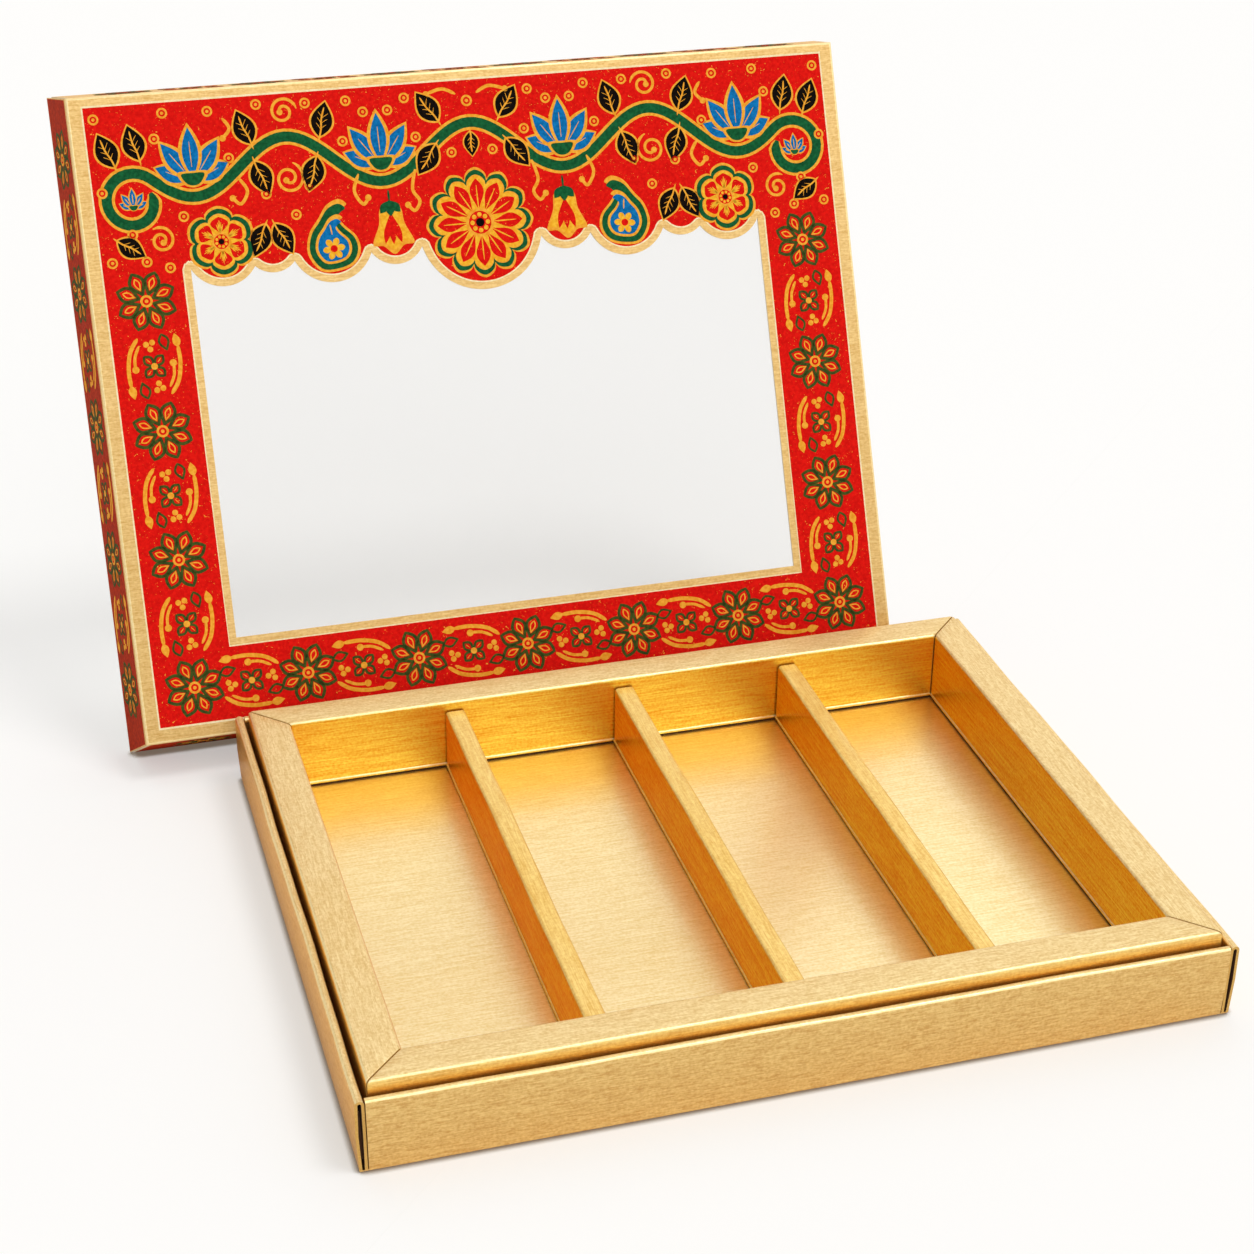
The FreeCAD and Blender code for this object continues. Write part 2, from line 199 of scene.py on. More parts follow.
sky = add("Background", {"Color": (1, 1, 1, 1), "Strength": strength})
add("OutputWorld", {"Surface": sky})
scene.view_settings.view_transform = "Standard"
print("world as a lamp:", WORLD_FILL, "and as seen:", WORLD_SEEN)

# %% Softboxes
# Each softbox: power, how wide it looks in degrees, and the way to it.
SOFTBOXES = {
    "back_softbox": (0.4, 60, Vector((0.15, 0.8, 1.0))),
    "front_softbox": (0.5, 50, Vector((0.15, -0.9, 0.9))),
    "strip_softbox": (0.9, 20, Vector((0.4, -0.2, 1.0))),
}
for name, (power, spread, way) in SOFTBOXES.items():
    softbox = bpy.data.lights.new(name, "SUN")
    softbox.energy = power
    softbox.angle = math.radians(spread)
    lamp = bpy.data.objects.new(name, softbox)
    lamp.rotation_euler = way.to_track_quat("Z", "Y").to_euler()
    scene.collection.objects.link(lamp)
print("softboxes:", ", ".join(SOFTBOXES))

# %% [markdown]
# ## Gold laminated board
# The tray is brown board under a gold metallised film, brushed and lacquered. Such a film reflects as metal
# does, so its colour is the gold itself, and light that bounces from gold to gold makes part of the deep amber
# inside the tray. One function makes several golds from their tones, gloss and grain, and most of them are
# lit and shaded copies of the one film: paler golds on tops and rounded folds are painted light and painted
# highlights, and a deeper gold on the inner legs is painted shade. The grain is noise stretched along the
# board. Real lines are about 0.2 mm apart, too fine for the picture, so they are drawn at 0.5 mm.

# %% Gold laminated board material
GRAIN_WIDTH = 0.5
BLOTCH_SIZE = 0.9
BLOTCH_SHARE = 0.35
GRAIN_RELIEF = 0.05
RELIEF_STRENGTH = 0.3
SHEEN_SPREAD = 0.05
LACQUER_IOR = 2.0
LACQUER_ROUGHNESS = 0.12
# Noise bunches round 0.5, so the tones and the sheen are spread over its middle part.
TONE_SPAN = (0.38, 0.62)
SHEEN_SPAN = (0.3, 0.7)


def two_tone(add, value, low, high, deep, pale):
    """A colour that goes from deep to pale while a value goes from low to high."""
    share = add("MapRange", {"Value": value, "From Min": low, "From Max": high})
    return add("Mix", {0: share, 6: deep, 7: pale}, data_type="RGBA")


def gold_board(name, grain_axis, pale, deep, slant, roughness, metal, lacquer, grain_length):
    """Gold film on board, its brushed grain along X or Y."""
    material, add = new_material(name)
    place = add("TexCoord").outputs["Object"]
    per_metre = [1 / (GRAIN_WIDTH * MM)] * 3
    per_metre["XYZ".index(grain_axis)] = 1 / (grain_length * MM)
    stretched = add("Mapping", {"Vector": place, "Scale": per_metre})
    grain = add("TexNoise", {
        "Vector": stretched, "Scale": 1.0, "Detail": 3.0, "Roughness": 0.6, "Distortion": 1.1})
    blotch = add("TexNoise", {"Vector": place, "Scale": 1 / (BLOTCH_SIZE * MM), "Detail": 2.0})
    relief = add("Mix", {0: BLOTCH_SHARE, 2: grain, 3: blotch})
    sheen = add("MapRange", {
        "Value": relief, "From Min": SHEEN_SPAN[0], "From Max": SHEEN_SPAN[1],
        "To Min": roughness + SHEEN_SPREAD, "To Max": roughness - SHEEN_SPREAD})
    bump = add("Bump", {"Height": relief, "Strength": RELIEF_STRENGTH, "Distance": GRAIN_RELIEF * MM})
    film = add("BsdfPrincipled", {
        "Base Color": two_tone(add, relief, *TONE_SPAN, linear(deep), linear(pale)), "Metallic": metal,
        "Roughness": sheen, "Normal": bump, "Specular Tint": linear(slant), "Coat Weight": lacquer,
        "Coat Roughness": LACQUER_ROUGHNESS, "Coat IOR": LACQUER_IOR})
    add("OutputMaterial", {"Surface": film})
    return material


print("grain lines drawn", GRAIN_WIDTH, "mm wide")

# %% The golds
def gold_pair(name, *look):
    """One gold twice, its grain along X and along Y."""
    return {axis: gold_board(f"{name}_{axis.lower()}", axis, *look) for axis in "XY"}


# Each gold: the pale and the deep tone of its grain, its tone at a slant, its roughness, how metallic it is,
# how much clear lacquer shows on it, and how long its grain lines are in millimetres. The base's walls and
# the lid have golds of their own; the rest are copies of the one film painted for where light falls. The
# deeper legs are painted shade; the brighter outer legs, the paler tops, divider tops and pad are painted
# light; and the palest gold, on the folds, is a painted highlight.
wall_gold = gold_pair("base_gold_board", "#EBC87C", "#CE9F52", "#FFCC98", 0.42, 1.0, 0.3, 5)
shaded_leg_gold = gold_pair("gold_laminated_board", "#FCE66A", "#E8A226", "#FF9A24", 0.36, 1.0, 0.1, 16)
lit_top_gold = gold_pair("painted_light_top_gold_board", "#F3DBA0", "#D8B572", "#FFC66E", 0.46, 0.3, 0.12, 5)
lit_outer_leg_gold = gold_pair("painted_light_outer_leg_gold_board", "#FBDA80", "#E2B056", "#FFB24E", 0.4, 1.0, 0.2, 9)
lit_divider_top_gold = gold_board("painted_light_divider_top_gold_board", "Y", "#F8DA84", "#E2B458", "#FFC66E", 0.46, 0.3, 0.12, 9)
fold_highlight_gold = gold_board("painted_fold_highlight_gold_board", "X", "#FFE9B4", "#F5D892", "#FFD890", 0.34, 0.45, 0.08, 5)
pad_gold = gold_board("floor_pad_gold_board", "X", "#EFE3B5", "#DFCA8C", "#FFBA59", 0.38, 1.0, 0.2, 11)
lid_gold = gold_board("lid_gold_board", "X", "#E9C886", "#CFA45C", "#FFBA59", 0.5, 0.6, 0.1, 5)
print("gold boards:", [material.name for material in bpy.data.materials if "gold_board" in material.name])

# %% [markdown]
# ## Plain board
# A cut shows the board's edge as a thin line, gilt on the tray and cream on the lid. The back of the tray's
# board is dark brown, dark enough to stand as painted shade in the slits between plies and in the seams at
# the foot of the creases, and the lid has a pale lining. All are matt, with no metal in them, so one function
# makes them, with noise to keep them from looking like plastic. Paper fibres are about 0.05 mm thick, too
# fine for the picture, so they are drawn ten times as coarse.

# %% Plain board materials
FIBRE_SIZE = 0.5


def plain_board(name, pale, dark):
    """Matt board, mottled by its fibres."""
    material, add = new_material(name)
    place = add("TexCoord").outputs["Object"]
    fibre = add("TexNoise", {"Vector": place, "Scale": 1 / (FIBRE_SIZE * MM), "Detail": 3.0})
    colour = add("Mix", {0: fibre, 6: linear(dark), 7: linear(pale)}, data_type="RGBA")
    board = add("BsdfPrincipled", {"Base Color": colour, "Roughness": 0.9})
    add("OutputMaterial", {"Surface": board})
    return material


tray_core = plain_board("gilt_board_cut_edge", "#E8BC66", "#B98638")
# The tray's back also paints the seams below the creases dark, as painted shade.
tray_back_and_seam_shade = plain_board("brown_board_back_and_painted_seam_shade", "#6A4226", "#4A2B16")
lid_core = plain_board("lined_board_cut_edge", "#F3E7CB", "#D9C49A")
lid_back = plain_board("lined_board_back", "#E3DED3", "#CFC8BA")
print("plain boards:", tray_core.name, tray_back_and_seam_shade.name, lid_core.name, lid_back.name)

# %% [markdown]
# ## Folding board
# Every rail, wall and divider is one strip of board folded along its length, so all of them come from the
# same three steps: draw the fold as a path, round its corners, and give the path the board's thickness.
# The closed section that results is then drawn along the strip. Extruding a curve would do it as well, but
# building the mesh by hand leaves room for mitred ends and for the slight sway of real board.

# %% Folded sections
ARC_STEPS = 6
SHARPEST_BEND = 0.5


def fold_path(corners):
    """A path through (across, up, bend radius) corners, each bend an arc."""
    path = []
    for index, (across, rise, radius) in enumerate(corners):
        corner = Vector((across, rise))
        if not radius:
            path.append(corner)
            continue
        before = (Vector(corners[index - 1][:2]) - corner).normalized()
        after = (Vector(corners[index + 1][:2]) - corner).normalized()
        half_angle = before.angle(after) / 2
        centre = corner + (before + after).normalized() * radius / math.sin(half_angle)
        start = corner + before * radius / math.tan(half_angle) - centre
        turn = (corner + after * radius / math.tan(half_angle) - centre).angle_signed(start)
        for step in range(ARC_STEPS + 1):
            path.append(centre + Matrix.Rotation(turn * step / ARC_STEPS, 2) @ start)
    return path


def thicken(path, thickness):
    """The outer and inner line of board that follows a path."""
    outside, inside = [], []
    for index, point in enumerate(path):
        before = (point - path[max(index - 1, 0)]).normalized()
        after = (path[min(index + 1, len(path) - 1)] - point).normalized()
        run = (before + after).normalized()
        spread = max(run.dot(after if after.length else before), SHARPEST_BEND)
        normal = Vector((-run.y, run.x)) * thickness / 2 / spread
        outside.append(point + normal)
        inside.append(point - normal)
    return outside, inside


print("a square fold has", len(fold_path([(0, 0, 0), (0, 9, 1), (9, 9, 0)])), "points")

# %% Strips along a section
END_RINGS = (0.25, 0.7)
STRIP_SPACING = 6
# The paints of a strip: the leg that comes down, cut edges, the inside, the top, the middle of a fold, and
# the leg that goes up. The top and the middle of a fold take paler golds, as painted light and a painted
# highlight.
LEG, CUT, INSIDE, TOP, FOLD, OUTER_LEG = range(6)
TOP_FACING = 0.6
FOLD_FACING = (0.5, 0.9)


def even_stations(half_length, spacing=STRIP_SPACING, ends=END_RINGS):
    """Shares of the half length where a strip has a ring of points, closer together at its ends."""
    inner = half_length - ends[-1]
    count = max(2, round(2 * inner / spacing))
    close = [0, *ends[:-1]]
    lengths = [step - half_length for step in close]
    lengths += [2 * inner * step / count - inner for step in range(count + 1)]
    lengths += [half_length - step for step in reversed(close)]
    return [length / half_length for length in lengths]


def band(lower, upper):
    """The faces between two loops of points, given by the points' numbers."""
    count = len(lower)
    return [(lower[spot], lower[(spot + 1) % count], upper[(spot + 1) % count], upper[spot])
            for spot in range(count)]


def ring_faces(rows, count):
    """The faces between rows of points, each row a closed ring of the same count."""
    rings = [range(row * count, (row + 1) * count) for row in range(rows)]
    return [face for lower, upper in zip(rings, rings[1:]) for face in band(lower, upper)]


def paint_of(run):
    """The paint of one facet of a strip's outside, from the way it runs across the strip.

    A facet that faces up gets the top's painted light, and one half-way round a fold the painted fold
    highlight.
    """
    if FOLD_FACING[0] < run.x < FOLD_FACING[1]:
        return FOLD
    if run.x > TOP_FACING:
        return TOP
    return OUTER_LEG if run.y > 0 else LEG


def sweep(outside, inside, stations, place, half_run, shaded_seams=()):
    """Draw a board's section along a strip: its points, faces and paints.

    half_run(across) is half the strip's length at that line of it. Shaded seams are facets painted as dark as
    the inside, as painted shade.
    """
    section = outside + inside[::-1]
    count = len(section)
    points = [place(share * half_run(point.x), point.x, point.y) for share in stations for point in section]
    runs = [(after - before).normalized() for before, after in zip(outside, outside[1:])]
    paints = [paint_of(run) for run in runs] + [CUT] + [INSIDE] * (len(inside) - 1) + [CUT]
    # Seam facets are painted with the inside's dark board, as painted shade.
    for facet in shaded_seams:
        paints[facet] = INSIDE
    ends = [tuple(range(count)), tuple(range(len(points) - count, len(points)))]
    return points, ring_faces(len(stations), count) + ends, paints * (len(stations) - 1) + [CUT, CUT]


print("rings on a strip 200 mm long:", len(even_stations(100)))

# %% [markdown]
# ## Pieces that ride
# A piece has to move with its body, hide the plain solid it replaces, and take its materials. One function
# makes the mesh, turns its faces outwards, shades it smooth except at real edges, and does all three. Each
# face's paint is the number of its material.

# %% Adding a piece
SMOOTH_ANGLE = math.radians(38)


def add_piece(name, points, faces, materials, body, nodes=(), paints=()):
    """Make one visible piece from points in millimetres, put it on its body, and hide the solids it replaces.
    """
    mesh = bpy.data.meshes.new(name)
    mesh.from_pydata([Vector(point) * MM for point in points], [], faces)
    for material in materials:
        mesh.materials.append(material)
    for polygon, paint in zip(mesh.polygons, paints):
        polygon.material_index = paint
    shaped = bmesh.new()
    shaped.from_mesh(mesh)
    bmesh.ops.recalc_face_normals(shaped, faces=shaped.faces)
    shaped.to_mesh(mesh)
    shaped.free()
    mesh.shade_smooth()
    mesh.set_sharp_from_angle(angle=SMOOTH_ANGLE)
    piece = bpy.data.objects.new(name, mesh)
    scene.collection.objects.link(piece)
    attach(piece, body)
    if nodes:
        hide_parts(*nodes)


print(f"edges sharper than {math.degrees(SMOOTH_ANGLE):.0f} degrees stay crisp")

# %% [markdown]
# ## The base
# The base is one blank: a floor and four double walls, each folded back over a rounded hem. The side walls
# run past the others, so their hairpin folds show end-on at the corners, with a dark slit between the
# plies. A solid block with a bevel would hide that slit, so each wall is a folded strip. The floor's lower
# edge is a fold too, so it is rounded rather than sharp.

# %% Base sizes and sides
floor_low, floor_high = node_box("base_floor")
BOARD = floor_high.z - floor_low.z
# Each side: the way along its wall, which has the inside of the box on its left.
SIDES = {"front": (1, 0, 0), "right": (0, 1, 0), "back": (-1, 0, 0), "left": (0, -1, 0)}


def strip_boards(leg, top, fold, outer_leg=None):
    """The materials of a folded strip, in the order of its paints."""
    return [leg, tray_core, tray_back_and_seam_shade, top, fold, outer_leg or leg]


def side_frame(side, low, high):
    """A rectangle's side: the axis of its grain, the ways along it and inwards, and its middle."""
    along = Vector(SIDES[side])
    inward = UP.cross(along)
    middle = Vector(((low.x + high.x) / 2 - inward.x * (high.x - low.x) / 2,
                     (low.y + high.y) / 2 - inward.y * (high.y - low.y) / 2, 0))
    return "X" if along.x else "Y", along, inward, middle


def rectangle(along, across):
    """The corners of a rectangle round 0, as complex numbers."""
    return [complex(along * x, across * y) for x, y in ((-1, -1), (1, -1), (1, 1), (-1, 1))]


print(f"board {BOARD:.2f} mm, base {floor_high.x - floor_low.x:.0f} x {floor_high.y - floor_low.y:.0f} mm")

# %% Base floor
# The steps of a folded edge: how far each is in from the edge, and how far from the panel's face.
angles = [math.pi / 2 * step / ARC_STEPS for step in range(ARC_STEPS + 1)]
rounding = [(BOARD * (1 - math.sin(angle)), BOARD * (1 - math.cos(angle))) for angle in angles]
points = [(corner.real, corner.imag, height) for inset, height in rounding
          for corner in rectangle(floor_high.x - inset, floor_high.y - inset)]
faces = ring_faces(len(rounding), 4) + [(0, 1, 2, 3), tuple(range(len(points) - 4, len(points)))]
add_piece("base_floor_panel", points, faces, [wall_gold["X"]], "base", ["base_floor"])
print("base floor rings:", len(rounding))

# %% Base walls
HEM_TURN = 0.9
# How far each ply stands out of line half-way up, and how far the inner one is drawn in at its foot.
OUTER_BULGE = 0.35
INNER_BULGE = 0.1
FOOT_PINCH = 0.3
# How much the front and back walls reach past their solids, at the foot and at the top.
END_REACH = (0.5, 0.7)
SWAY = 0.22
TAU = 2 * math.pi
# Each wave of the sway: its length, its share, and how far a seed turns it.
SWAY_WAVES = ((97.0, 0.65, 1.0), (41.0, 0.35, 2.3))


def sway(length, seed):
    """Slow unevenness of board along its length, from -1 to 1."""
    return sum(share * math.sin(TAU * length / wave + turn * seed) for wave, share, turn in SWAY_WAVES)


for number, side in enumerate(SIDES):
    axis, along, inward, start = side_frame(side, floor_low, floor_high)
    low, high = node_box(f"base_{side}_wall")
    height = high.z - floor_high.z
    half = max(abs(high.dot(along)), abs(low.dot(along)))
    flare = max(abs(low.dot(inward)), abs(high.dot(inward))) - abs(floor_low.dot(inward))
    outer, inner, top = BOARD / 2, BOARD / 2 + 2 * HEM_TURN, height - BOARD / 2
    path = fold_path([(outer, 0, 0), (outer - OUTER_BULGE, top / 2, 0), (outer, top, HEM_TURN),
                      (inner, top, HEM_TURN), (inner - INNER_BULGE, top / 2, 0), (inner - FOOT_PINCH, 0, 0)])
    foot_reach, top_reach = END_REACH if axis == "X" else (0, 0)

    def place(length, across, rise):
        share = rise / height
        lean = flare * share + SWAY * share * (sway(length, number) - 1)
        stretch = 1 + (foot_reach + (top_reach - foot_reach) * share) / half
        return start + along * length * stretch + inward * (across - lean) + UP * (floor_high.z + rise)

    points, faces, paints = sweep(*thicken(path, BOARD), even_stations(half), place, lambda across: half)
    # The hem's top takes the paler top gold as painted light, and the middle of its fold the pale fold gold as
    # a painted highlight.
    boards = strip_boards(wall_gold[axis], lit_top_gold[axis], fold_highlight_gold)
    add_piece(f"base_{side}_double_wall", points, faces, boards, "base",
              [f"base_{side}_wall"], paints)
    print(f"base {side} wall: half length {half:.1f}, height {height:.1f}, flare {flare:.2f} mm")

# %% [markdown]
# ## The insert
# The insert lifts out. Its rim is four hollow rails, each a strip folded into an upside-down U, mitred where
# two of them meet. A crease along the foot of the inner leg catches the light as a bright line, which the pale
# fold gold adds to as a painted highlight, and the facet below it is painted dark as a painted shade in the
# seam. A bevelled bar would have neither the crease nor the hollow that shows when the insert is lifted.

# %% Folded channel
RAIL_BEND = 0.75
# The crease's profile: how far it stands out, and how high.
CREASE = ((0, 1.15), (0.18, 1.02), (0.38, 0.78), (0.45, 0.55), (0.38, 0.32), (0, 0.15))


def channel(width, height, crease_at, crease_both):
    """A strip folded into an upside-down U, with a crease along the foot of one leg or both."""
    near, far, top = BOARD / 2, width - BOARD / 2, height - BOARD / 2
    path = fold_path([(near, 0, 0), (near, top, RAIL_BEND), (far, top, RAIL_BEND), (far, 0, 0)])
    outside, inside = thicken(path, BOARD)
    crease = [Vector((width + out, crease_at + rise)) for out, rise in CREASE]
    outside[-1:-1] = crease
    if crease_both:
        outside[1:1] = [Vector((width - point.x, point.y)) for point in reversed(crease)]
    return outside, inside


print("the crease stands", max(out for out, _ in CREASE), "mm out")

# %% Insert rails
MITRE_GAP = 0.32
MITRE_ROUND = 0.22
RAIL_WAVE = 0.05
# How far the crease stands above the pad; the leg below it is painted dark there as painted shade.
RAIL_SEAM = 0.2
RAIL_SEED = 4
front_low, front_high = node_box("insert_front_rail")
RAIL_WIDTH = front_high.y - front_low.y
RAIL_HEIGHT = front_high.z - front_low.z
pad_low, pad_high = node_box("insert_pad")
pad_top = pad_high.z - floor_high.z
rim_low = Vector((front_low.x, front_low.y, 0))
rim_high = Vector((front_high.x, node_box("insert_back_rail")[1].y, 0))

for number, side in enumerate(SIDES):
    axis, along, inward, start = side_frame(side, rim_low, rim_high)
    half = max(abs(rim_low.dot(along)), abs(rim_high.dot(along)))
    outside, inside = channel(RAIL_WIDTH, RAIL_HEIGHT, pad_top + RAIL_SEAM, False)

    def half_run(across):
        return half - MITRE_GAP - min(across, RAIL_WIDTH)

    def place(length, across, rise):
        near_end = max(0.0, 1 - (half_run(across) - abs(length)) / END_RINGS[-1])
        soften = MITRE_ROUND * near_end ** 2 * rise / RAIL_HEIGHT
        wave = RAIL_WAVE * sway(length, number + RAIL_SEED) * rise / RAIL_HEIGHT
        return start + along * length + inward * across + UP * (floor_high.z + rise - soften + wave)

    # The last facet of the outside, below the crease, is painted dark as a painted shade in the seam.
    points, faces, paints = sweep(outside, inside, even_stations(half), place, half_run, [len(outside) - 2])
    # The right rail's fold takes the top's gold, without the painted fold highlight. The outer legs take the
    # brighter gold as painted light, and the inner legs the deeper gold as painted shade.
    fold = lit_top_gold[axis] if side == "right" else fold_highlight_gold
    boards = strip_boards(shaded_leg_gold[axis], lit_top_gold[axis], fold, lit_outer_leg_gold[axis])
    add_piece(f"insert_{side}_rim_rail", points, faces, boards, "insert",
              [f"insert_{side}_rail"], paints)
print(f"rails {RAIL_WIDTH:.1f} wide, {RAIL_HEIGHT:.1f} high, pad top {pad_top:.1f} mm above the base floor")

# %% [markdown]
# ## The floor pad
# The pad is board too, and board never lies quite flat. A grid of points lets its top dip by up to a tenth of
# a millimetre, which is enough to break up a metal reflection, and lets its edge roll over. A displacement
# modifier could do the same, but a formula keeps the pad in its place.

# %% Insert pad
PAD_ROUND = 0.45
PAD_RINGS = (0.1, 0.25, PAD_ROUND)
PAD_SPACING = 5
PAD_WAVE = 0.05
PAD_SEEDS = (1.1, 2.7)


def grid(columns, rows):
    """The faces of a grid of points, kept row by row, and the points round its edge."""
    count = columns * rows
    faces = [(first, first + 1, first + columns + 1, first + columns)
             for row in range(rows - 1) for first in range(row * columns, (row + 1) * columns - 1)]
    edge = [*range(columns), *range(2 * columns - 1, count, columns),
            *range(count - 2, count - columns - 1, -1), *range(count - 2 * columns, 0, -columns)]
    return faces, edge


columns = [share * pad_high.x for share in even_stations(pad_high.x, PAD_SPACING, PAD_RINGS)]
rows = [share * pad_high.y for share in even_stations(pad_high.y, PAD_SPACING, PAD_RINGS)]
points = []
for y in rows:
    for x in columns:
        edge = min(pad_high.x - abs(x), pad_high.y - abs(y), PAD_ROUND)
        roll = PAD_ROUND - math.sqrt(max(0.0, PAD_ROUND ** 2 - (PAD_ROUND - edge) ** 2))
        dip = PAD_WAVE * (1 - (sway(x, PAD_SEEDS[0]) + sway(y, PAD_SEEDS[1])) / 2)
        points.append((x, y, pad_high.z - roll - dip))
faces, rim = grid(len(columns), len(rows))
foot = range(len(points), len(points) + len(rim))
points += [(*points[index][:2], pad_low.z) for index in rim]
faces += band(rim, foot) + [tuple(foot)]
add_piece("insert_floor_pad", points, faces, [pad_gold], "insert", ["insert_pad"])
print("pad grid:", len(columns), "x", len(rows))

# %% [markdown]
# ## The dividers
# Three narrower strips, folded the same way, stand on the pad. Both legs have the crease at the foot, over a
# seam painted dark as painted shade. The ends stand back from the rails, which leaves a dark slit there, and
# the feet are cut a little shorter still, so that they clear the rails' creases. Their tops and folds take a
# paler gold, as painted light.

# %% Dividers
END_TRIM = 0.5
FOOT_TRIM = 0.2
FOOT_MARGIN = 0.5
FOOT_HEIGHT = CREASE[0][1] + FOOT_MARGIN
# How far the creases stand above the pad; the legs below them are painted dark there as painted shade.
DIVIDER_SEAM = 0.3
DIVIDER_BOW = 0.18
DIVIDER_SEED = 7
for number, name in enumerate(("left", "middle", "right")):
    low, high = node_box(f"divider_{name}")
    outside, inside = channel(high.x - low.x, high.z - low.z, DIVIDER_SEAM, True)

    def place(length, across, rise):
        bow = DIVIDER_BOW * rise / (high.z - low.z) * sway(length, number + DIVIDER_SEED)
        trim = (END_TRIM + (FOOT_TRIM if rise < FOOT_HEIGHT else 0)) / high.y
        return Vector((low.x + across + bow, length * (1 - trim), low.z + rise))

    points, faces, paints = sweep(outside, inside, even_stations(high.y), place, lambda across: high.y,
                                  [0, len(outside) - 2])
    # The legs take the deeper gold as painted shade, and tops and folds the paler divider gold as painted
    # light.
    boards = strip_boards(shaded_leg_gold["Y"], lit_divider_top_gold, lit_divider_top_gold)
    add_piece(f"divider_{name}_strip", points, faces, boards, f"divider_{name}",
              [f"divider_{name}"], paints)
    print(f"divider {name}: ends {rim_high.y - RAIL_WIDTH - high.y + END_TRIM:.2f} mm from the rails")

# %% [markdown]
# ## The lid's panels
# The lid leans back behind the tray, so nothing on it lies along the world's axes. Each panel's outside is
# read from its plain solid: the largest face that looks the right way gives the normal, and its corners give
# the middle and the size. After that a point is named by how far it is along, across and above the panel.

# %% Lid panels
FACING = 0.5
FLATNESS = 0.02
EAST = Vector((1, 0, 0))
# The lid's paints: the outside, cut edges, the lining, and the fold round the face, painted pale as a painted
# highlight.
PRINTED, LID_CUT, LINING, FOLD_HIGHLIGHT = range(4)
LID_BOARDS = [lid_gold, lid_core, lid_back, fold_highlight_gold]


def outside_of(node, towards, along):
    """A lid panel's outside: its middle, its three axes, its corners in order and its half sizes, in mm."""
    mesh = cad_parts[node].data
    facing = [polygon for polygon in mesh.polygons if polygon.normal.dot(towards) > FACING]
    largest = max(facing, key=lambda polygon: polygon.area)
    normal = largest.normal.copy()
    level = largest.center.dot(normal)
    across = normal.cross(along)
    corners = [vertex.co / MM for vertex in mesh.vertices
               if abs(vertex.co.dot(normal) - level) < FLATNESS * MM]
    ends = [[corner.dot(axis) for corner in corners] for axis in (along, across)]
    centre = [(min(values) + max(values)) / 2 for values in ends]
    middle = along * centre[0] + across * centre[1] + normal * level / MM
    flat = {complex(round(x - centre[0], 3), round(y - centre[1], 3)) for x, y in zip(*ends)}
    return {"middle": middle, "axes": (along, across, normal), "corners": sorted(flat, key=cmath.phase),
            "half": [(max(values) - min(values)) / 2 for values in ends]}


def on_panel(panel, point, height):
    """Where a flat point, kept as a complex number, is on a panel."""
    along, across, normal = panel["axes"]
    return panel["middle"] + along * point.real + across * point.imag + normal * height


face = outside_of("lid_face", Vector((0, -1, 0)), EAST)
lid_up = face["axes"][1]
# Each wall lies with the fold to the face on its upper side.
walls = {side: outside_of(f"lid_{side}_wall", towards, along) for side, towards, along in (
    ("lower", -lid_up, EAST), ("upper", lid_up, -EAST), ("left", -EAST, -lid_up), ("right", EAST, lid_up))}
for name, panel in {"face": face, **walls}.items():
    print(name, [round(2 * half, 1) for half in panel["half"]], "mm")

# %% [markdown]
# ## The window's outline
# A die cut the window: straight at three sides, and scalloped along the top by nine round lobes of printed
# board. At each place along it the lobe that hangs lowest gives the edge. A border moves the outline out
# into the board, as if a small disc were rolled along it, which gives the printed red its edge.

# %% Window outline
WINDOW_HALF = 97.3
WINDOW_FOOT = -73.5
WINDOW_LINE = 53.0
# Each lobe: its place as a share of the half window, and its radius.
LOBES = {0: 21, 0.3: 10, 0.52: 14, 0.72: 9, 0.89: 12}
OUTLINE_STEP = 0.4
DISC_STEPS = 10
SLACK = 1e-6


def lobe_edge(across):
    """How high the window reaches at one place along it."""
    low = WINDOW_LINE
    for share, radius in LOBES.items():
        off = abs(abs(across) - share * WINDOW_HALF)
        if off < radius:
            low = min(low, WINDOW_LINE - math.sqrt(radius ** 2 - off ** 2))
    return low


def border_edge(across, border):
    """The same edge moved up by a border, as a disc rolled along it would draw it."""
    reach = [border * step / DISC_STEPS for step in range(-DISC_STEPS, DISC_STEPS + 1)]
    return max(lobe_edge(across + off) + math.sqrt(border ** 2 - off ** 2)
               for off in reach if abs(across + off) <= WINDOW_HALF + SLACK)


def window_outline(border):
    """The window's outline moved out by a border, as complex points."""
    half = WINDOW_HALF + border
    count = round(2 * half / OUTLINE_STEP)
    places = [half - 2 * half * step / count for step in range(count + 1)]
    top = [complex(place, border_edge(place, border)) for place in places]
    foot = WINDOW_FOOT - border
    return [complex(half, foot)] + top + [complex(-half, foot)]


print("window:", round(2 * WINDOW_HALF, 1), "mm wide; middle lobe down to", lobe_edge(0))

# %% [markdown]
# ## The lid's face
# The face is a flat panel with a hole in it. A boolean could cut it, but Blender's tessellate_polygon fills
# such a ring more cleanly, once for the outside and once for the lining. The outer edge is a fold, so it turns
# over in a quarter round, which takes the pale fold gold as a painted highlight; the window's edge is a cut,
# so it is square and shows the core.

# %% Lid face
def triangles(*loops):
    """Triangles that fill the first loop and leave out the others."""
    return tessellate_polygon([[(point.real, point.imag, 0) for point in loop] for loop in loops])


half_along, half_across = face["half"]
hole = window_outline(0)
points = [on_panel(face, point, -drop) for inset, drop in rounding
          for point in rectangle(half_along - inset, half_across - inset)]
cut = len(points)
points += [on_panel(face, point, height) for height in (0, -BOARD) for point in hole]
faces = ring_faces(len(rounding), 4)
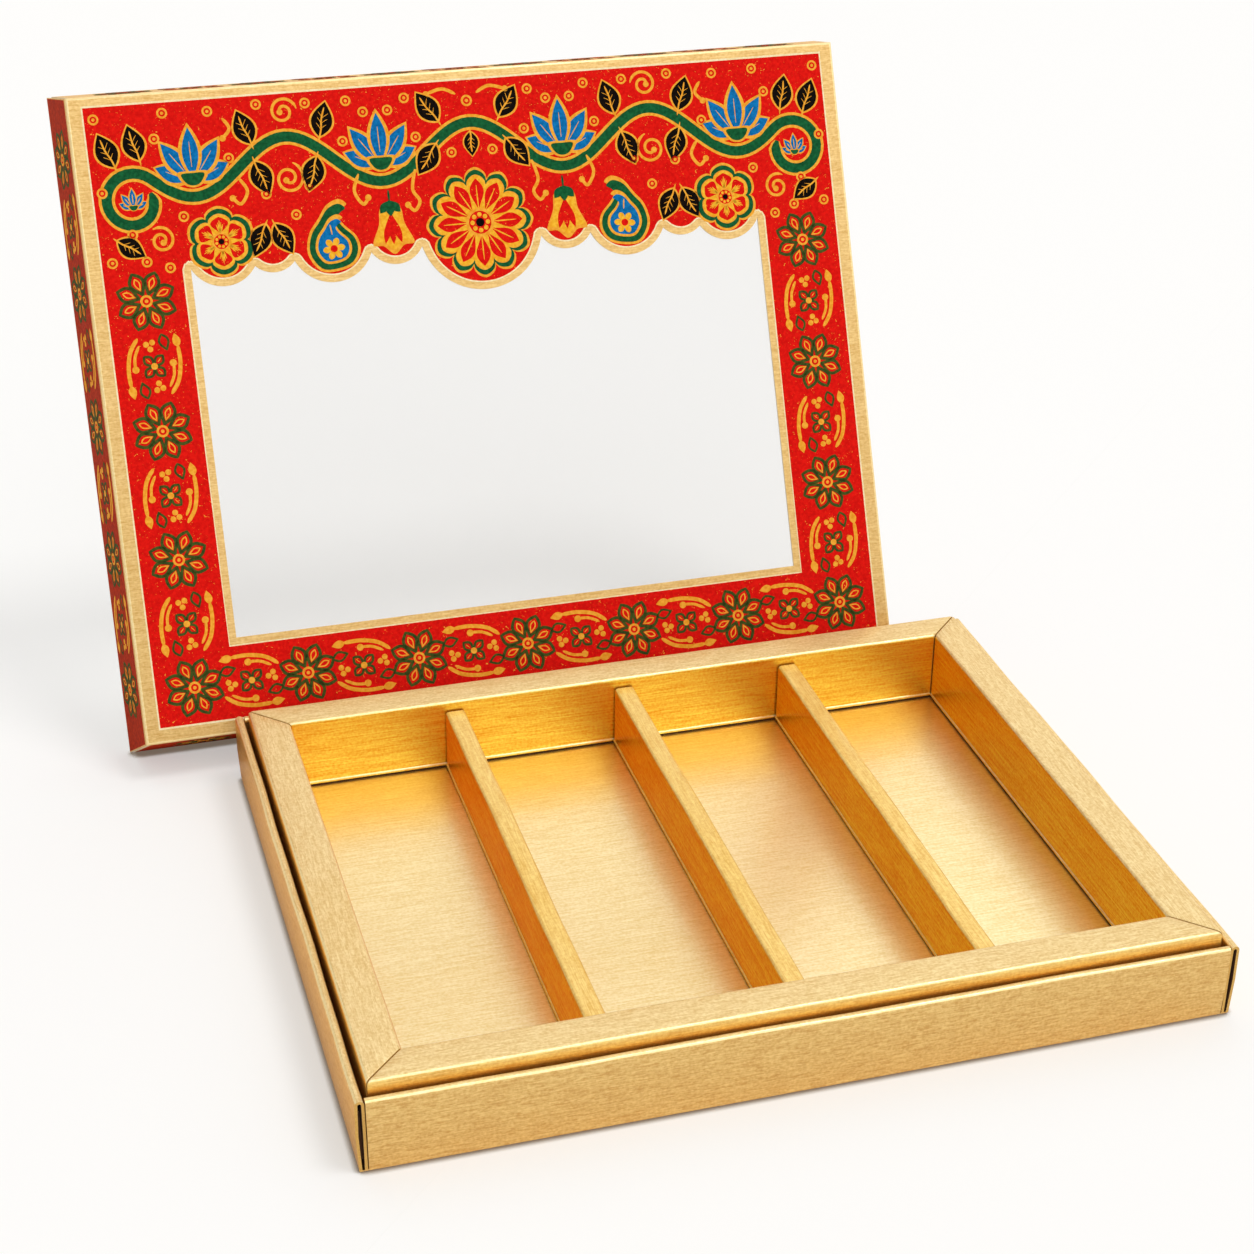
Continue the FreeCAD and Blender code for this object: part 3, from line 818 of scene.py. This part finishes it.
# The quarter round is painted with the pale fold gold, a painted highlight.
paints = [FOLD_HIGHLIGHT] * len(faces)
for paint, ring_start, hole_start in ((PRINTED, 0, cut), (LINING, cut - 4, cut + len(hole))):
    for triangle in triangles(rectangle(half_along, half_across), hole):
        faces.append(tuple(index + (ring_start if index < 4 else hole_start - 4) for index in triangle))
        paints.append(paint)
faces += band(range(cut, cut + len(hole)), range(cut + len(hole), len(points)))
paints += [LID_CUT] * len(hole)
add_piece("lid_face_panel", points, faces, LID_BOARDS, "lid", ["lid_face"], paints)
print("lid face:", len(hole), "points round the window")

# %% [markdown]
# ## The lid's walls and tabs
# Four flat walls fold back from the face, flared a little so that the lid drops over the tray. Each is a
# plain plate: gold board outside, lining inside, core on the cut edges. Their slanted ends come from the
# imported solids' corners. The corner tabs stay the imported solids, and only get the finish of a board's back.

# %% Lid walls
for side, panel in walls.items():
    points = [on_panel(panel, point, height) for height in (0, -BOARD) for point in panel["corners"]]
    faces = [(0, 1, 2, 3), (7, 6, 5, 4)] + band(range(4), range(4, 8))
    add_piece(f"lid_{side}_wall_panel", points, faces, LID_BOARDS[:FOLD_HIGHLIGHT], "lid",
              [f"lid_{side}_wall"], [PRINTED, LINING] + 4 * [LID_CUT])

tabs = [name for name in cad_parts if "_tab_" in name]
for name in tabs:
    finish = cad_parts[name].data.materials
    finish.clear()
    finish.append(lid_back if name.startswith("lid") else tray_back_and_seam_shade)
print("tabs with a finish:", len(tabs))

# %% [markdown]
# ## The film
# A clear film is glued behind the window. It takes a little of the light that passes, which is why the white
# behind it looks slightly grey, and it shines weakly. A low alpha is enough for that; real refraction in a
# film a quarter of a millimetre thick could not be seen. It sags a little where nothing holds it.

# %% Window film
FILM_HAZE = "#A9A6A3"
FILM_ALPHA = 0.085
FILM_ROUGHNESS = (0.08, 0.2)
FILM_WAVE = 0.04
FILM_SEEDS = (0.4, 1.9)
FILM_GRID = (25, 19)
HAZE_SIZE = 60

material, add = new_material("clear_polyester_film")
place = add("TexCoord").outputs["Object"]
haze = add("TexNoise", {"Vector": place, "Scale": 1 / (HAZE_SIZE * MM), "Detail": 1.0})
rough = add("MapRange", {"Value": haze, "To Min": FILM_ROUGHNESS[0], "To Max": FILM_ROUGHNESS[1]})
film = add("BsdfPrincipled", {"Base Color": linear(FILM_HAZE), "Alpha": FILM_ALPHA, "Roughness": rough})
add("OutputMaterial", {"Surface": film})

sheet = outside_of("lid_film", face["axes"][2], EAST)
film_low, film_high = node_box("lid_film")
film_thick = (film_high.z - film_low.z - 2 * sheet["half"][1] * lid_up.z) / abs(face["axes"][2].z)
columns, rows = FILM_GRID
points = []
for depth in (0, -film_thick):
    for row in range(rows):
        for column in range(columns):
            across, up = 2 * column / (columns - 1) - 1, 2 * row / (rows - 1) - 1
            spot = complex(across * sheet["half"][0], up * sheet["half"][1])
            calm = (1 - across ** 2) * (1 - up ** 2)
            wave = FILM_WAVE * calm * (sway(spot.real, FILM_SEEDS[0]) + sway(spot.imag, FILM_SEEDS[1]) - 2)
            points.append(on_panel(sheet, spot, depth + wave))
faces, edge = grid(columns, rows)
layer = columns * rows
faces += [tuple(index + layer for index in reversed(quad)) for quad in faces]
faces += band(edge, [index + layer for index in edge])
add_piece("lid_window_film", points, faces, [material], "lid", ["lid_film"])
print(f"film {film_thick:.2f} mm thick")

# %% [markdown]
# ## Printing inks
# The lid is offset printed: a red ground, then line work and fills in a few flat inks, under a thin varnish
# that leaves them nearly matt. Ink is never quite even, so each one is mottled between two tones at about a
# millimetre, and the red shows worn gold flecks, where a second noise is at its highest.

# %% Ink materials
MOTTLE_SIZE = 1.1
MOTTLE_SPAN = (0.35, 0.65)
FLECK_SIZE = 0.9
FLECK_SPAN = (0.69, 0.73)
# Each ink: its pale and its deep tone.
INKS = {
    "red": ("#E91B13", "#D2120E"),
    "brick": ("#C0340F", "#9A2406"),
    "gold": ("#F9B540", "#EC9A28"),
    "green": ("#1B653A", "#114C2B"),
    "olive": ("#4E5A24", "#33451F"),
    "blue": ("#147ABC", "#0A629C"),
    "black": ("#17100C", "#0A0706"),
    "yellow": ("#FBC23A", "#EFA322"),
    "cream": ("#FDF0C9", "#F4DDA4"),
}


def ink_material(name, pale, deep):
    """One varnished ink. The red has flecks of the gold under it."""
    material, add = new_material(f"{name}_printing_ink")
    place = add("TexCoord").outputs["Object"]
    mottle = add("TexNoise", {"Vector": place, "Scale": 1 / (MOTTLE_SIZE * MM), "Detail": 3.0})
    colour = two_tone(add, mottle, *MOTTLE_SPAN, linear(deep), linear(pale))
    if name == "red":
        wear = add("TexNoise", {
            "Vector": place, "Scale": 1 / (FLECK_SIZE * MM), "Detail": 2.0, "Distortion": 1.5})
        colour = two_tone(add, wear, *FLECK_SPAN, colour, linear(INKS["gold"][0]))
    varnish = add("BsdfPrincipled", {"Base Color": colour, "Roughness": 0.6, "Specular IOR Level": 0.02})
    add("OutputMaterial", {"Surface": varnish})
    return material


inks = {name: ink_material(name, *tones) for name, tones in INKS.items()}
print("inks:", ", ".join(inks))

# %% [markdown]
# ## Putting ink on board
# Each printed shape is a thin closed slab on its panel. Later layers lie 0.02 mm higher, more than real ink
# builds up, so that nothing flickers where shapes cross. A texture could hold the print as well, but a drawn
# shape stays sharp at any distance. A drawing is a list of shapes in complex numbers, which can be moved,
# turned and mirrored with plain arithmetic.

# %% Press
INK_STEP = 0.02
LINE_TIP = 0.35
pressed = {name: ([], []) for name in INKS}


def press(colour, layer, panel, loops, cells):
    """Add one slab of ink, from its outlines and the cells that fill its top and its foot."""
    points, faces = pressed[colour]
    first = len(points)
    outline = [point for loop in loops for point in loop]
    count = len(outline)
    for height in (0, INK_STEP * layer):
        points.extend(on_panel(panel, point, height) for point in outline)
    faces.extend(tuple(first + count + index for index in cell) for cell in cells)
    faces.extend(tuple(first + index for index in reversed(cell)) for cell in cells)
    for loop in loops:
        last = first + len(loop)
        faces.extend(band(range(first, last), range(first + count, last + count)))
        first = last


def print_on(panel, drawing):
    """Press every shape of a drawing. A line is drawn as a ribbon that narrows at its open ends."""
    for colour, layer, points, width, closed in drawing:
        if not width:
            press(colour, layer, panel, [points], [range(len(points))])
            continue
        path = [points[-1], *points, *points[:2]] if closed else [points[0], *points, points[-1]]
        last = len(path) - 3
        rows = []
        for index, (before, point, after) in enumerate(zip(path, path[1:], path[2:])):
            run = (after - before) / abs(after - before)
            narrow = 1 if closed else min(1.0, LINE_TIP * (1 + min(index, last - index)))
            rows.append((point + 1j * run * width / 2 * narrow, point - 1j * run * width / 2 * narrow))
        loop = [left for left, _ in rows] + [right for _, right in reversed(rows)]
        count = len(loop)
        cells = [(index, count - 1 - index, count - 2 - index, index + 1) for index in range(last)]
        press(colour, layer, panel, [loop], cells)


print("ink layers are", INK_STEP, "mm apart")

# %% Drawings
def fill(colour, layer, points):
    """A drawing of one filled shape."""
    return [(colour, layer, list(points), 0, False)]


def line(colour, layer, points, width, closed=False):
    """A drawing of one line."""
    return [(colour, layer, list(points), width, closed)]


def nested(outline, *bands):
    """An outline filled several times, each time in one ink, on one layer and at a share of its size."""
    return [shape for colour, layer, share in bands
            for shape in fill(colour, layer, [share * point for point in outline])]


def moved(drawing, at=0, turn=0.0, size=1.0, flip=False):
    """A drawing turned, sized and moved, and mirrored first if asked."""
    spin = cmath.rect(size, turn)
    return [(colour, layer, [at + spin * (-point.conjugate() if flip else point) for point in points],
             width, closed) for colour, layer, points, width, closed in drawing]


print("a dot moved east:", moved(fill("gold", 1, [0j]), 5)[0][2])

# %% [markdown]
# ## The red ground
# The red panel of the face has straight outer edges and leaves a gold border round the window. Thin pale
# lines follow both edges. Three of the walls are printed in a browner red, a darker copy of the face's red
# that stands as painted shade, which leaves only a narrow strip of gold along the fold; the upper wall stays
# gold.

# %% Red ground
RED_HALF = 125.7
RED_FOOT, RED_TOP = -100.2, 101.7
WINDOW_BORDER = 2.5
EDGE_LINE = 0.8
WINDOW_EDGE_LINE = 0.5
FOLD_STRIP = 1.5
WALL_TRIM = 0.3

outer = [complex(-RED_HALF, RED_FOOT), complex(RED_HALF, RED_FOOT),
         complex(RED_HALF, RED_TOP), complex(-RED_HALF, RED_TOP)]
hole = window_outline(WINDOW_BORDER)
press("red", 1, face, [outer, hole], [tuple(triangle) for triangle in triangles(outer, hole)])
print_on(face, line("cream", 2, outer, EDGE_LINE, True) + line("cream", 2, hole, WINDOW_EDGE_LINE, True))
# The walls' ground is the brick ink, the face's red darkened as painted shade.
for side in ("lower", "left", "right"):
    ground = []
    for corner in walls[side]["corners"]:
        rise = -FOLD_STRIP if corner.imag > 0 else WALL_TRIM
        ground.append(corner + complex(-math.copysign(WALL_TRIM, corner.real), rise))
    print_on(walls[side], fill("brick", 1, ground))
print(f"red ground {2 * RED_HALF:.0f} x {RED_TOP - RED_FOOT:.0f} mm")

# %% [markdown]
# ## Shapes to draw with
# Five outlines make the whole print: a circle, a petal that is pointed at both ends, the outline of a whole
# flower, a smooth line through a few points, and a spiral. The smooth line is a spline that passes through
# every point it is given, so a stem can be sketched with four or five numbers.

# %% Outlines
CIRCLE_STEPS = 20
PETAL_STEPS = 12
BLOSSOM_STEPS = 16
SPIRAL_STEPS = 30


def circle(radius, at=0):
    """A circle."""
    return [at + cmath.rect(radius, TAU * step / CIRCLE_STEPS) for step in range(CIRCLE_STEPS)]


def petal(length, width, belly=1.2):
    """A petal along the real axis. A larger belly puts its widest part nearer to the tip."""
    shares = [step / PETAL_STEPS for step in range(PETAL_STEPS + 1)]
    top = [complex(length * share, width / 2 * math.sin(math.pi * share ** belly)) for share in shares]
    return top + [point.conjugate() for point in top[-2:0:-1]]


def blossom(petals, radius, waist):
    """The outline of a flower. Its petals meet at a share of its radius, the waist."""
    outline = []
    for step in range(petals * BLOSSOM_STEPS):
        off = abs(2 * (step % BLOSSOM_STEPS) / BLOSSOM_STEPS - 1)
        reach = waist + (1 - waist) * (1 - off ** 1.5) ** 0.6
        outline.append(cmath.rect(radius * reach, TAU * (step / BLOSSOM_STEPS - 0.5) / petals))
    return outline


def smooth(points, closed=False, steps=6):
    """A smooth line through points."""
    count = len(points)
    out = []
    for index in range(count if closed else count - 1):
        spots = [index + step for step in (-1, 0, 1, 2)]
        if closed:
            spots = [spot % count for spot in spots]
        a, b, c, d = (points[min(max(spot, 0), count - 1)] for spot in spots)
        for step in range(steps):
            t = step / steps
            out.append(b + (c - a) / 2 * t + (a - 2.5 * b + 2 * c - d / 2) * t ** 2
                       + (1.5 * (b - c) + (d - a) / 2) * t ** 3)
    return out if closed else out + [points[-1]]


def spiral(wide, narrow, start, turns):
    """A spiral about 0, from its wide end inwards."""
    count = round(abs(turns) * SPIRAL_STEPS)
    return [cmath.rect(wide + (narrow - wide) * step / count, start + TAU * turns * step / count)
            for step in range(count + 1)]


def fan(shape, count, radius=0.0):
    """The turns of a shape that stands in a ring."""
    spins = [cmath.rect(1, TAU * step / count) for step in range(count)]
    return [[spin * (radius + point) for point in shape] for spin in spins]


print("a petal has", len(petal(10, 5)), "points")

# %% [markdown]
# ## Flowers and leaves
# The motifs are the common stock of festive boxes: many-petalled flowers, lotuses, mango-shaped paisleys,
# bell buds, dark leaves and small rings. Each is built from the lowest layer upwards, as a printer's plates
# would be: a gold shape, a smaller coloured one on it, and fine lines on top. Some are drawn at unit size,
# and get their size in millimetres when they are put in place.

# %% Flowers
FLOWER_VEIN, LOTUS_VEIN = 0.45, 0.4
# Each band of a round flower: its ink, its layer, and how far it stays inside the flower's edge.
FLOWER_BANDS = (("gold", 3, 0.0), ("green", 4, 0.9), ("gold", 5, 2.5), ("yellow", 6, 3.0))
PETAL_INSET = 3.2


def round_flower(petals, radius, veins):
    """A flower in gold, green, yellow and red, with a ringed eye."""
    drawing = []
    for colour, layer, inset in FLOWER_BANDS:
        drawing += fill(colour, layer, blossom(petals, radius - inset, 0.8))
    root, tip = 0.2 * radius, 0.96 * (radius - PETAL_INSET)
    plump = 1.72 * math.tan(math.pi / petals) * (root + 0.62 * (tip - root))
    for shape in fan(petal(tip - root, plump, 1.45), petals, root):
        drawing += fill("red", 7, shape)
    for number in range(veins):
        place = number - (veins - 1) / 2
        off = place * 0.34 * plump / max(veins, 2)
        reach = 0.8 - 0.12 * abs(place)
        vein = [root + (tip - root) * reach * step / 5 + 1j * off * 1.3 * step / 5 for step in range(6)]
        for points in fan(vein, petals):
            drawing += line("yellow", 8, points, FLOWER_VEIN)
    eye = 0.26 * radius
    drawing += nested(circle(eye), ("gold", 9, 1), ("red", 10, 0.8), ("black", 11, 0.3))
    for dot in fan(circle(eye * 0.16), 8, eye * 0.55):
        drawing += fill("yellow", 11, dot)
    return drawing


def lotus():
    """A lotus of unit height that opens upwards, in blue with gold edges."""
    drawing = []
    for turn, share, layer in ((1.15, 0.72, 3), (-1.15, 0.72, 3), (0.62, 0.9, 5), (-0.62, 0.9, 5), (0, 1, 7)):
        inner = [0.06 + 0.86 * point for point in petal(share, 0.32, 1.0)]
        vein = [share * step for step in (0.25, 0.4, 0.55, 0.68)]
        leaf = fill("gold", layer, petal(share, 0.4, 1.0)) + fill("blue", layer + 1, inner)
        drawing += moved(leaf + line("gold", layer + 1.4, vein, LOTUS_VEIN), 0, math.pi / 2 + turn)
    cup = smooth([-0.26 + 0.16j, 0.18j, 0.26 + 0.16j, 0.16 - 0.04j, -0.1j, -0.16 - 0.04j], True)
    return drawing + fill("gold", 9, cup) + fill("green", 10, [0.76 * point + 0.01j for point in cup])


print("shapes in a lotus:", len(lotus()))

# %% Leaves, paisleys and buds
LEAF_RIB, LEAF_VEIN = 0.55, 0.3
PAISLEY_VEIN = 0.6
BUD_STALK = 1.1
PAISLEY = smooth([-0.55j, 0.4 - 0.47j, 0.6 - 0.05j, 0.47 + 0.38j, 0.2 + 0.66j, -0.05 + 0.92j, -0.34 + 1.0j,
                  -0.5 + 0.86j, -0.36 + 0.78j, -0.24 + 0.66j, -0.34 + 0.42j, -0.56 + 0.12j, -0.58 - 0.2j,
                  -0.38 - 0.47j], True, 4)
BELL = smooth([0j, 0.2 - 0.12j, 0.25 - 0.42j, 0.4 - 0.78j, 0.2 - 0.82j, -0.98j, -0.2 - 0.82j, -0.4 - 0.78j,
               -0.25 - 0.42j, -0.2 - 0.12j], True)


def dark_leaf(length, width):
    """A black leaf with a gold edge, a midrib and side veins."""
    drawing = fill("gold", 3, [point - 0.06 * length for point in petal(length * 1.12, width * 1.2, 0.85)])
    drawing += fill("black", 4, petal(length, width, 0.85))
    rib = smooth([length * point for point in (-0.16, 0.2 + 0.02j, 0.5 - 0.02j, 0.84)])
    drawing += line("gold", 5, rib, LEAF_RIB)
    for share in (0.22, 0.38, 0.54):
        for side in (width, -width):
            vein = [0, 0.07 * length + 0.1j * side, 0.15 * length + 0.24j * side]
            drawing += line("gold", 5.2, [length * share + point for point in vein], LEAF_VEIN)
    return drawing


def paisley():
    """A mango-shaped paisley, banded in gold, green and blue, with a small flower in it."""
    drawing = nested(PAISLEY, ("gold", 3, 1), ("green", 4, 0.9), ("gold", 5, 0.68), ("blue", 6, 0.58))
    drawing += moved(fill("yellow", 7, blossom(6, 0.25, 0.45)), -0.05j) + fill("red", 8, circle(0.08, -0.05j))
    return drawing + line("gold", 7, [share * 1j - 0.03 for share in (0.26, 0.34, 0.42, 0.48)], PAISLEY_VEIN)


def bell_bud():
    """A bud of unit length that hangs from its stalk."""
    drawing = fill("gold", 3, BELL) + fill("yellow", 4, [0.86 * point - 0.05j for point in BELL])
    for number, side in enumerate((-1, 1, 0)):
        drawing += moved(fill("red", 5 + number, petal(0.62, 0.13, 1.5)), -0.18j, 0.26 * side - math.pi / 2)
        drawing += moved(fill("green", 8 + number, petal(0.3, 0.16)), 0.03j, 0.7 * side - math.pi / 2)
    return drawing + line("green", 7.5, [0.22j, 0.12j, 0.02j], BUD_STALK)


print("paisley outline:", len(PAISLEY), "points")

# %% Rings, tendrils and scrolls
TENDRIL_WIDTH, TENDRIL_DROP = 1.1, 1.045
SCROLL_WIDTH, SCROLL_DROP = 0.95, 1.0
RING_DOT = nested(circle(1), ("gold", 3, 1), ("red", 4, 0.62), ("gold", 5, 0.3))


def tendril(points):
    """A gold tendril that ends in a drop."""
    return line("gold", 3, smooth(points), TENDRIL_WIDTH) + fill("gold", 4, circle(TENDRIL_DROP, points[-1]))


def scroll(wide, start, turns):
    """A gold spiral with a drop in its eye."""
    path = spiral(wide, 0.22 * wide, start, turns)
    return line("gold", 3, path, SCROLL_WIDTH) + fill("gold", 4, circle(SCROLL_DROP, path[-1]))


print("shapes in a ring:", len(RING_DOT))

# %% [markdown]
# ## The band over the window
# A green vine waves along the broad upper band, the same to the left and to the right, and ends in two
# curls. Flowers, paisleys and buds fill the round lobes below it, lotuses stand in its dips, and leaves,
# rings and tendrils fill what is left. Half of it is drawn, and the other half is its mirror image.

# %% The vine
VINE_LEVEL, VINE_SWING, VINE_WAVE = 79.0, 8.5, 62.0
VINE_END = 106.75
VINE_STEP = 2
VINE_WIDTH, VINE_EDGED = 3.3, 5.2
CURL_START, CURL_WIDE, CURL_NARROW, CURL_TURNS = math.radians(132), 9.5, 6.4, -0.93


def vine_at(along):
    """Where the vine is at a distance from the middle."""
    return complex(along, VINE_LEVEL + VINE_SWING * math.cos(TAU * along / VINE_WAVE))


curl_middle = vine_at(VINE_END) - cmath.rect(CURL_WIDE, CURL_START)
curl = [curl_middle + point for point in spiral(CURL_WIDE, CURL_NARROW, CURL_START, CURL_TURNS)]
half_vine = [vine_at(VINE_STEP * step) for step in range(round(VINE_END / VINE_STEP))] + curl
vine = [-point.conjugate() for point in half_vine[:0:-1]] + half_vine
print_on(face, line("gold", 1.6, vine, VINE_EDGED) + line("green", 2.2, vine, VINE_WIDTH))
print("vine:", len(vine), "points")

# %% Upper band
# Each motif, then its places from the middle of the face, with its turn and its size where they matter.
UPPER_BAND = (
    (round_flower(6, 11.6, 5), (86.4 + 55.4j, 0.52)), (paisley(), (50 + 50.6j, -0.12, 14.8)),
    (bell_bud(), (29.8 + 63.5j, 0, 17.5)),
    (lotus(), (curl_middle - 2.2j, 0, 7), (31 + 75.4j, 0, 19), (93 + 75.4j, 0, 19)),
    (dark_leaf(11.0, 6.6), (71.4 + 59.6j, -1.12), (68.4 + 59.6j, -2.02)),
    (dark_leaf(10.0, 6.2), (119.5 + 58.5j, 3.75)),
    (dark_leaf(11.5, 7.0), (12 + 81j, 5.35), (10.5 + 88.6j, 1.0), (50.5 + 86.6j, 1.85), (52 + 80.2j, 5.05),
     (72.5 + 80.2j, 4.4), (73 + 86j, 1.25), (109.5 + 83.6j, 1.35), (117.6 + 82j, 1.2)),
    (scroll(5.2, 1.9, 1.6), (62 + 74j,)), (scroll(4.6, 3.0, -1.5), (61.5 + 95.6j,)),
    (scroll(4.4, 1.0, 1.5), (105.5 + 57.5j,)),
)
TENDRILS = (
    (20 + 73.5j, 21.5 + 67j, 19.5 + 63j, 21.5 + 60j, 23.6 + 62j), (81.5 + 95j, 79.5 + 91.5j, 82 + 88.5j),
    (39 + 73.5j, 41 + 68j, 38.5 + 63.5j, 36.6 + 65.5j), (78.5 + 75.5j, 76 + 71j, 78.5 + 67j, 81 + 69j),
    (3.5 + 97j, 8 + 99j, 13.5 + 97.6j),
)
RINGS = (
    7 + 78j, 21 + 97j, 40.5 + 97.5j, 43 + 84.5j, 18.5 + 84j, 61 + 62j, 80.8 + 82j, 86 + 97.5j, 100.5 + 98j,
    70 + 69.5j, 111 + 51j, 122.5 + 74j, 122.5 + 97.5j, 103.8 + 48.5j, 55.5 + 71j, 104 + 90j, 122 + 51.5j,
    54 + 97.8j, 70 + 98.5j, 114.5 + 60j, 27 + 93.5j, 35.2 + 93.5j, 97.5 + 64.5j,
)
RING_RADIUS = 1.75
# What stands in the middle, given as the motifs above are.
MIDDLE = (
    (round_flower(12, 18.4, 1), (54.2j,)), (dark_leaf(8.0, 4.8), (84.3j, -math.pi / 2)),
    (RING_DOT, (94.6j, 0, 1.9)),
)


def placed(motifs):
    """A drawing of each motif at all of its places."""
    return [shape for motif, *places in motifs for place in places for shape in moved(motif, *place)]


half_band = [shape for points in TENDRILS for shape in tendril(points)]
half_band += [shape for at in RINGS for shape in moved(RING_DOT, at, size=RING_RADIUS)]
half_band += placed(UPPER_BAND)
middle = placed(MIDDLE)
print_on(face, half_band + moved(half_band, flip=True) + middle)
print("upper band:", 2 * len(half_band) + len(middle), "shapes")

# %% [markdown]
# ## The narrow bands and the walls
# The other three sides of the face and the four walls repeat one small pattern: an eight-petalled rosette,
# then a knot of stems, buds and berries, and again. It is drawn lying along the real axis, and each band
# turns it to its own direction and chooses how many rosettes fit. On the upper wall, which stays gold, what
# is gold elsewhere is printed in brick.

# %% Border pattern
ROSETTE = 9.6
ROSETTE_PETALS = 8
# Widths of the lines in a rosette's petals, of the knot's stems, and of the lines of its leaves.
PETAL_EDGE, PETAL_HEART = 1.05, 0.42
STEM, SIDE_STEM = 1.3, 0.95
SIDE_LEAF, MIDDLE_LEAF, MIDDLE_RIB = 0.75, 0.85, 0.4
# Radii of the drop on the side stem, of the berries, and of the dot in the middle of a knot.
STEM_DROP, BERRY, KNOT_DOT = 1.15, 0.95, 1.1


def rosette():
    """A rosette of unit radius: eight outlined petals round a gold ring."""
    drawing = []
    for shape in fan(petal(0.77, 0.47, 1.3), ROSETTE_PETALS, 0.23):
        drawing += line("olive", 3, shape, PETAL_EDGE, True)
    for shape in fan(petal(0.42, 0.17, 1.3), ROSETTE_PETALS, 0.4):
        drawing += line("gold", 3, shape, PETAL_HEART, True)
    return drawing + nested(circle(1), ("gold", 5, 0.21), ("red", 6, 0.13), ("gold", 7, 0.06))


def stem_knot():
    """Half of the filling between two rosettes; the other half is the same turned round."""
    drawing = line("gold", 3, smooth([-9.4 - 4.4j, -5.2 - 7.2j, 0.6 - 8.4j, 6.2 - 8.2j]), STEM)
    drawing += moved(fill("gold", 4, petal(4.6, 2.6, 0.8)), 5.6 - 8.3j, 0.18)
    drawing += line("gold", 3, smooth([-7.0 - 4.2j, -3.4 - 5.9j, 0.2 - 6.2j]), SIDE_STEM)
    drawing += fill("gold", 4, circle(STEM_DROP, 0.6 - 6.1j))
    for at in (-5.6 - 0.7j, -7.7 + 0.1j, -7.2 - 1.9j):
        drawing += fill("gold", 4, circle(BERRY, at))
    drawing += moved(line("olive", 3, petal(5.2, 3.0), SIDE_LEAF, True), 5.0 - 4.6j, 0.25)
    for turn in (0.75, 2.4):
        drawing += moved(line("olive", 3, petal(4.4, 2.7, 1.3), MIDDLE_LEAF, True), 0, turn)
        drawing += moved(line("gold", 3, [1.8, 2.6, 3.4], MIDDLE_RIB), 0, turn)
    return drawing


def border(places, step, direction, closing=False):
    """Rosettes at each place and a knot half-way to the next one, after the last one too if closing."""
    drawing = []
    for number, place in enumerate(places):
        drawing += moved(rosette(), place, direction + math.pi / ROSETTE_PETALS, ROSETTE)
        if closing or number + 1 < len(places):
            half_way = place + cmath.rect(step / 2, direction)
            for turn in (direction, direction + math.pi):
                drawing += moved(stem_knot(), half_way, turn)
            drawing += fill("gold", 4, circle(KNOT_DOT, half_way))
    return drawing


print("shapes in a rosette:", len(rosette()), "and in a knot:", 2 * len(stem_knot()) + 1)

# %% Repeated border
SIDE_MIDDLE = (RED_HALF + WINDOW_HALF + WINDOW_BORDER) / 2
FOOT_MIDDLE = (RED_FOOT + WINDOW_FOOT - WINDOW_BORDER) / 2
SIDE_START = 38.5
FOOT_ROSETTES, SIDE_ROSETTES = 7, 3
WALL_SPACING = 41

foot_step = 2 * SIDE_MIDDLE / (FOOT_ROSETTES - 1)
side_step = (SIDE_START - FOOT_MIDDLE) / SIDE_ROSETTES
places = [complex(-SIDE_MIDDLE + foot_step * step, FOOT_MIDDLE) for step in range(FOOT_ROSETTES)]
print_on(face, border(places, foot_step, 0))
for across in (-SIDE_MIDDLE, SIDE_MIDDLE):
    places = [complex(across, SIDE_START - side_step * step) for step in range(SIDE_ROSETTES)]
    print_on(face, border(places, side_step, -math.pi / 2, closing=True))
for side, panel in walls.items():
    half = panel["half"][0]
    count = round(2 * half / WALL_SPACING)
    step = 2 * half / count
    places = [complex(-half + step / 2 + step * number, -FOLD_STRIP / 2) for number in range(count)]
    drawing = border(places, step, 0)
    if side == "upper":
        drawing = [("brick" if colour == "gold" else colour, *shape) for colour, *shape in drawing]
    print_on(panel, drawing)
print(f"rosettes {foot_step:.1f} mm apart along the foot and {side_step:.1f} mm along the sides")

# %% [markdown]
# ## The printed pieces
# One plate of the press prints one ink, so all the shapes of an ink are one mesh. It rides on the lid and
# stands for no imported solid, because ink is too thin to need one.

# %% Print pieces
for colour, (points, faces) in pressed.items():
    add_piece(f"lid_print_{colour}", points, faces, [inks[colour]], "lid")
    print(f"{colour}: {len(points)} points")
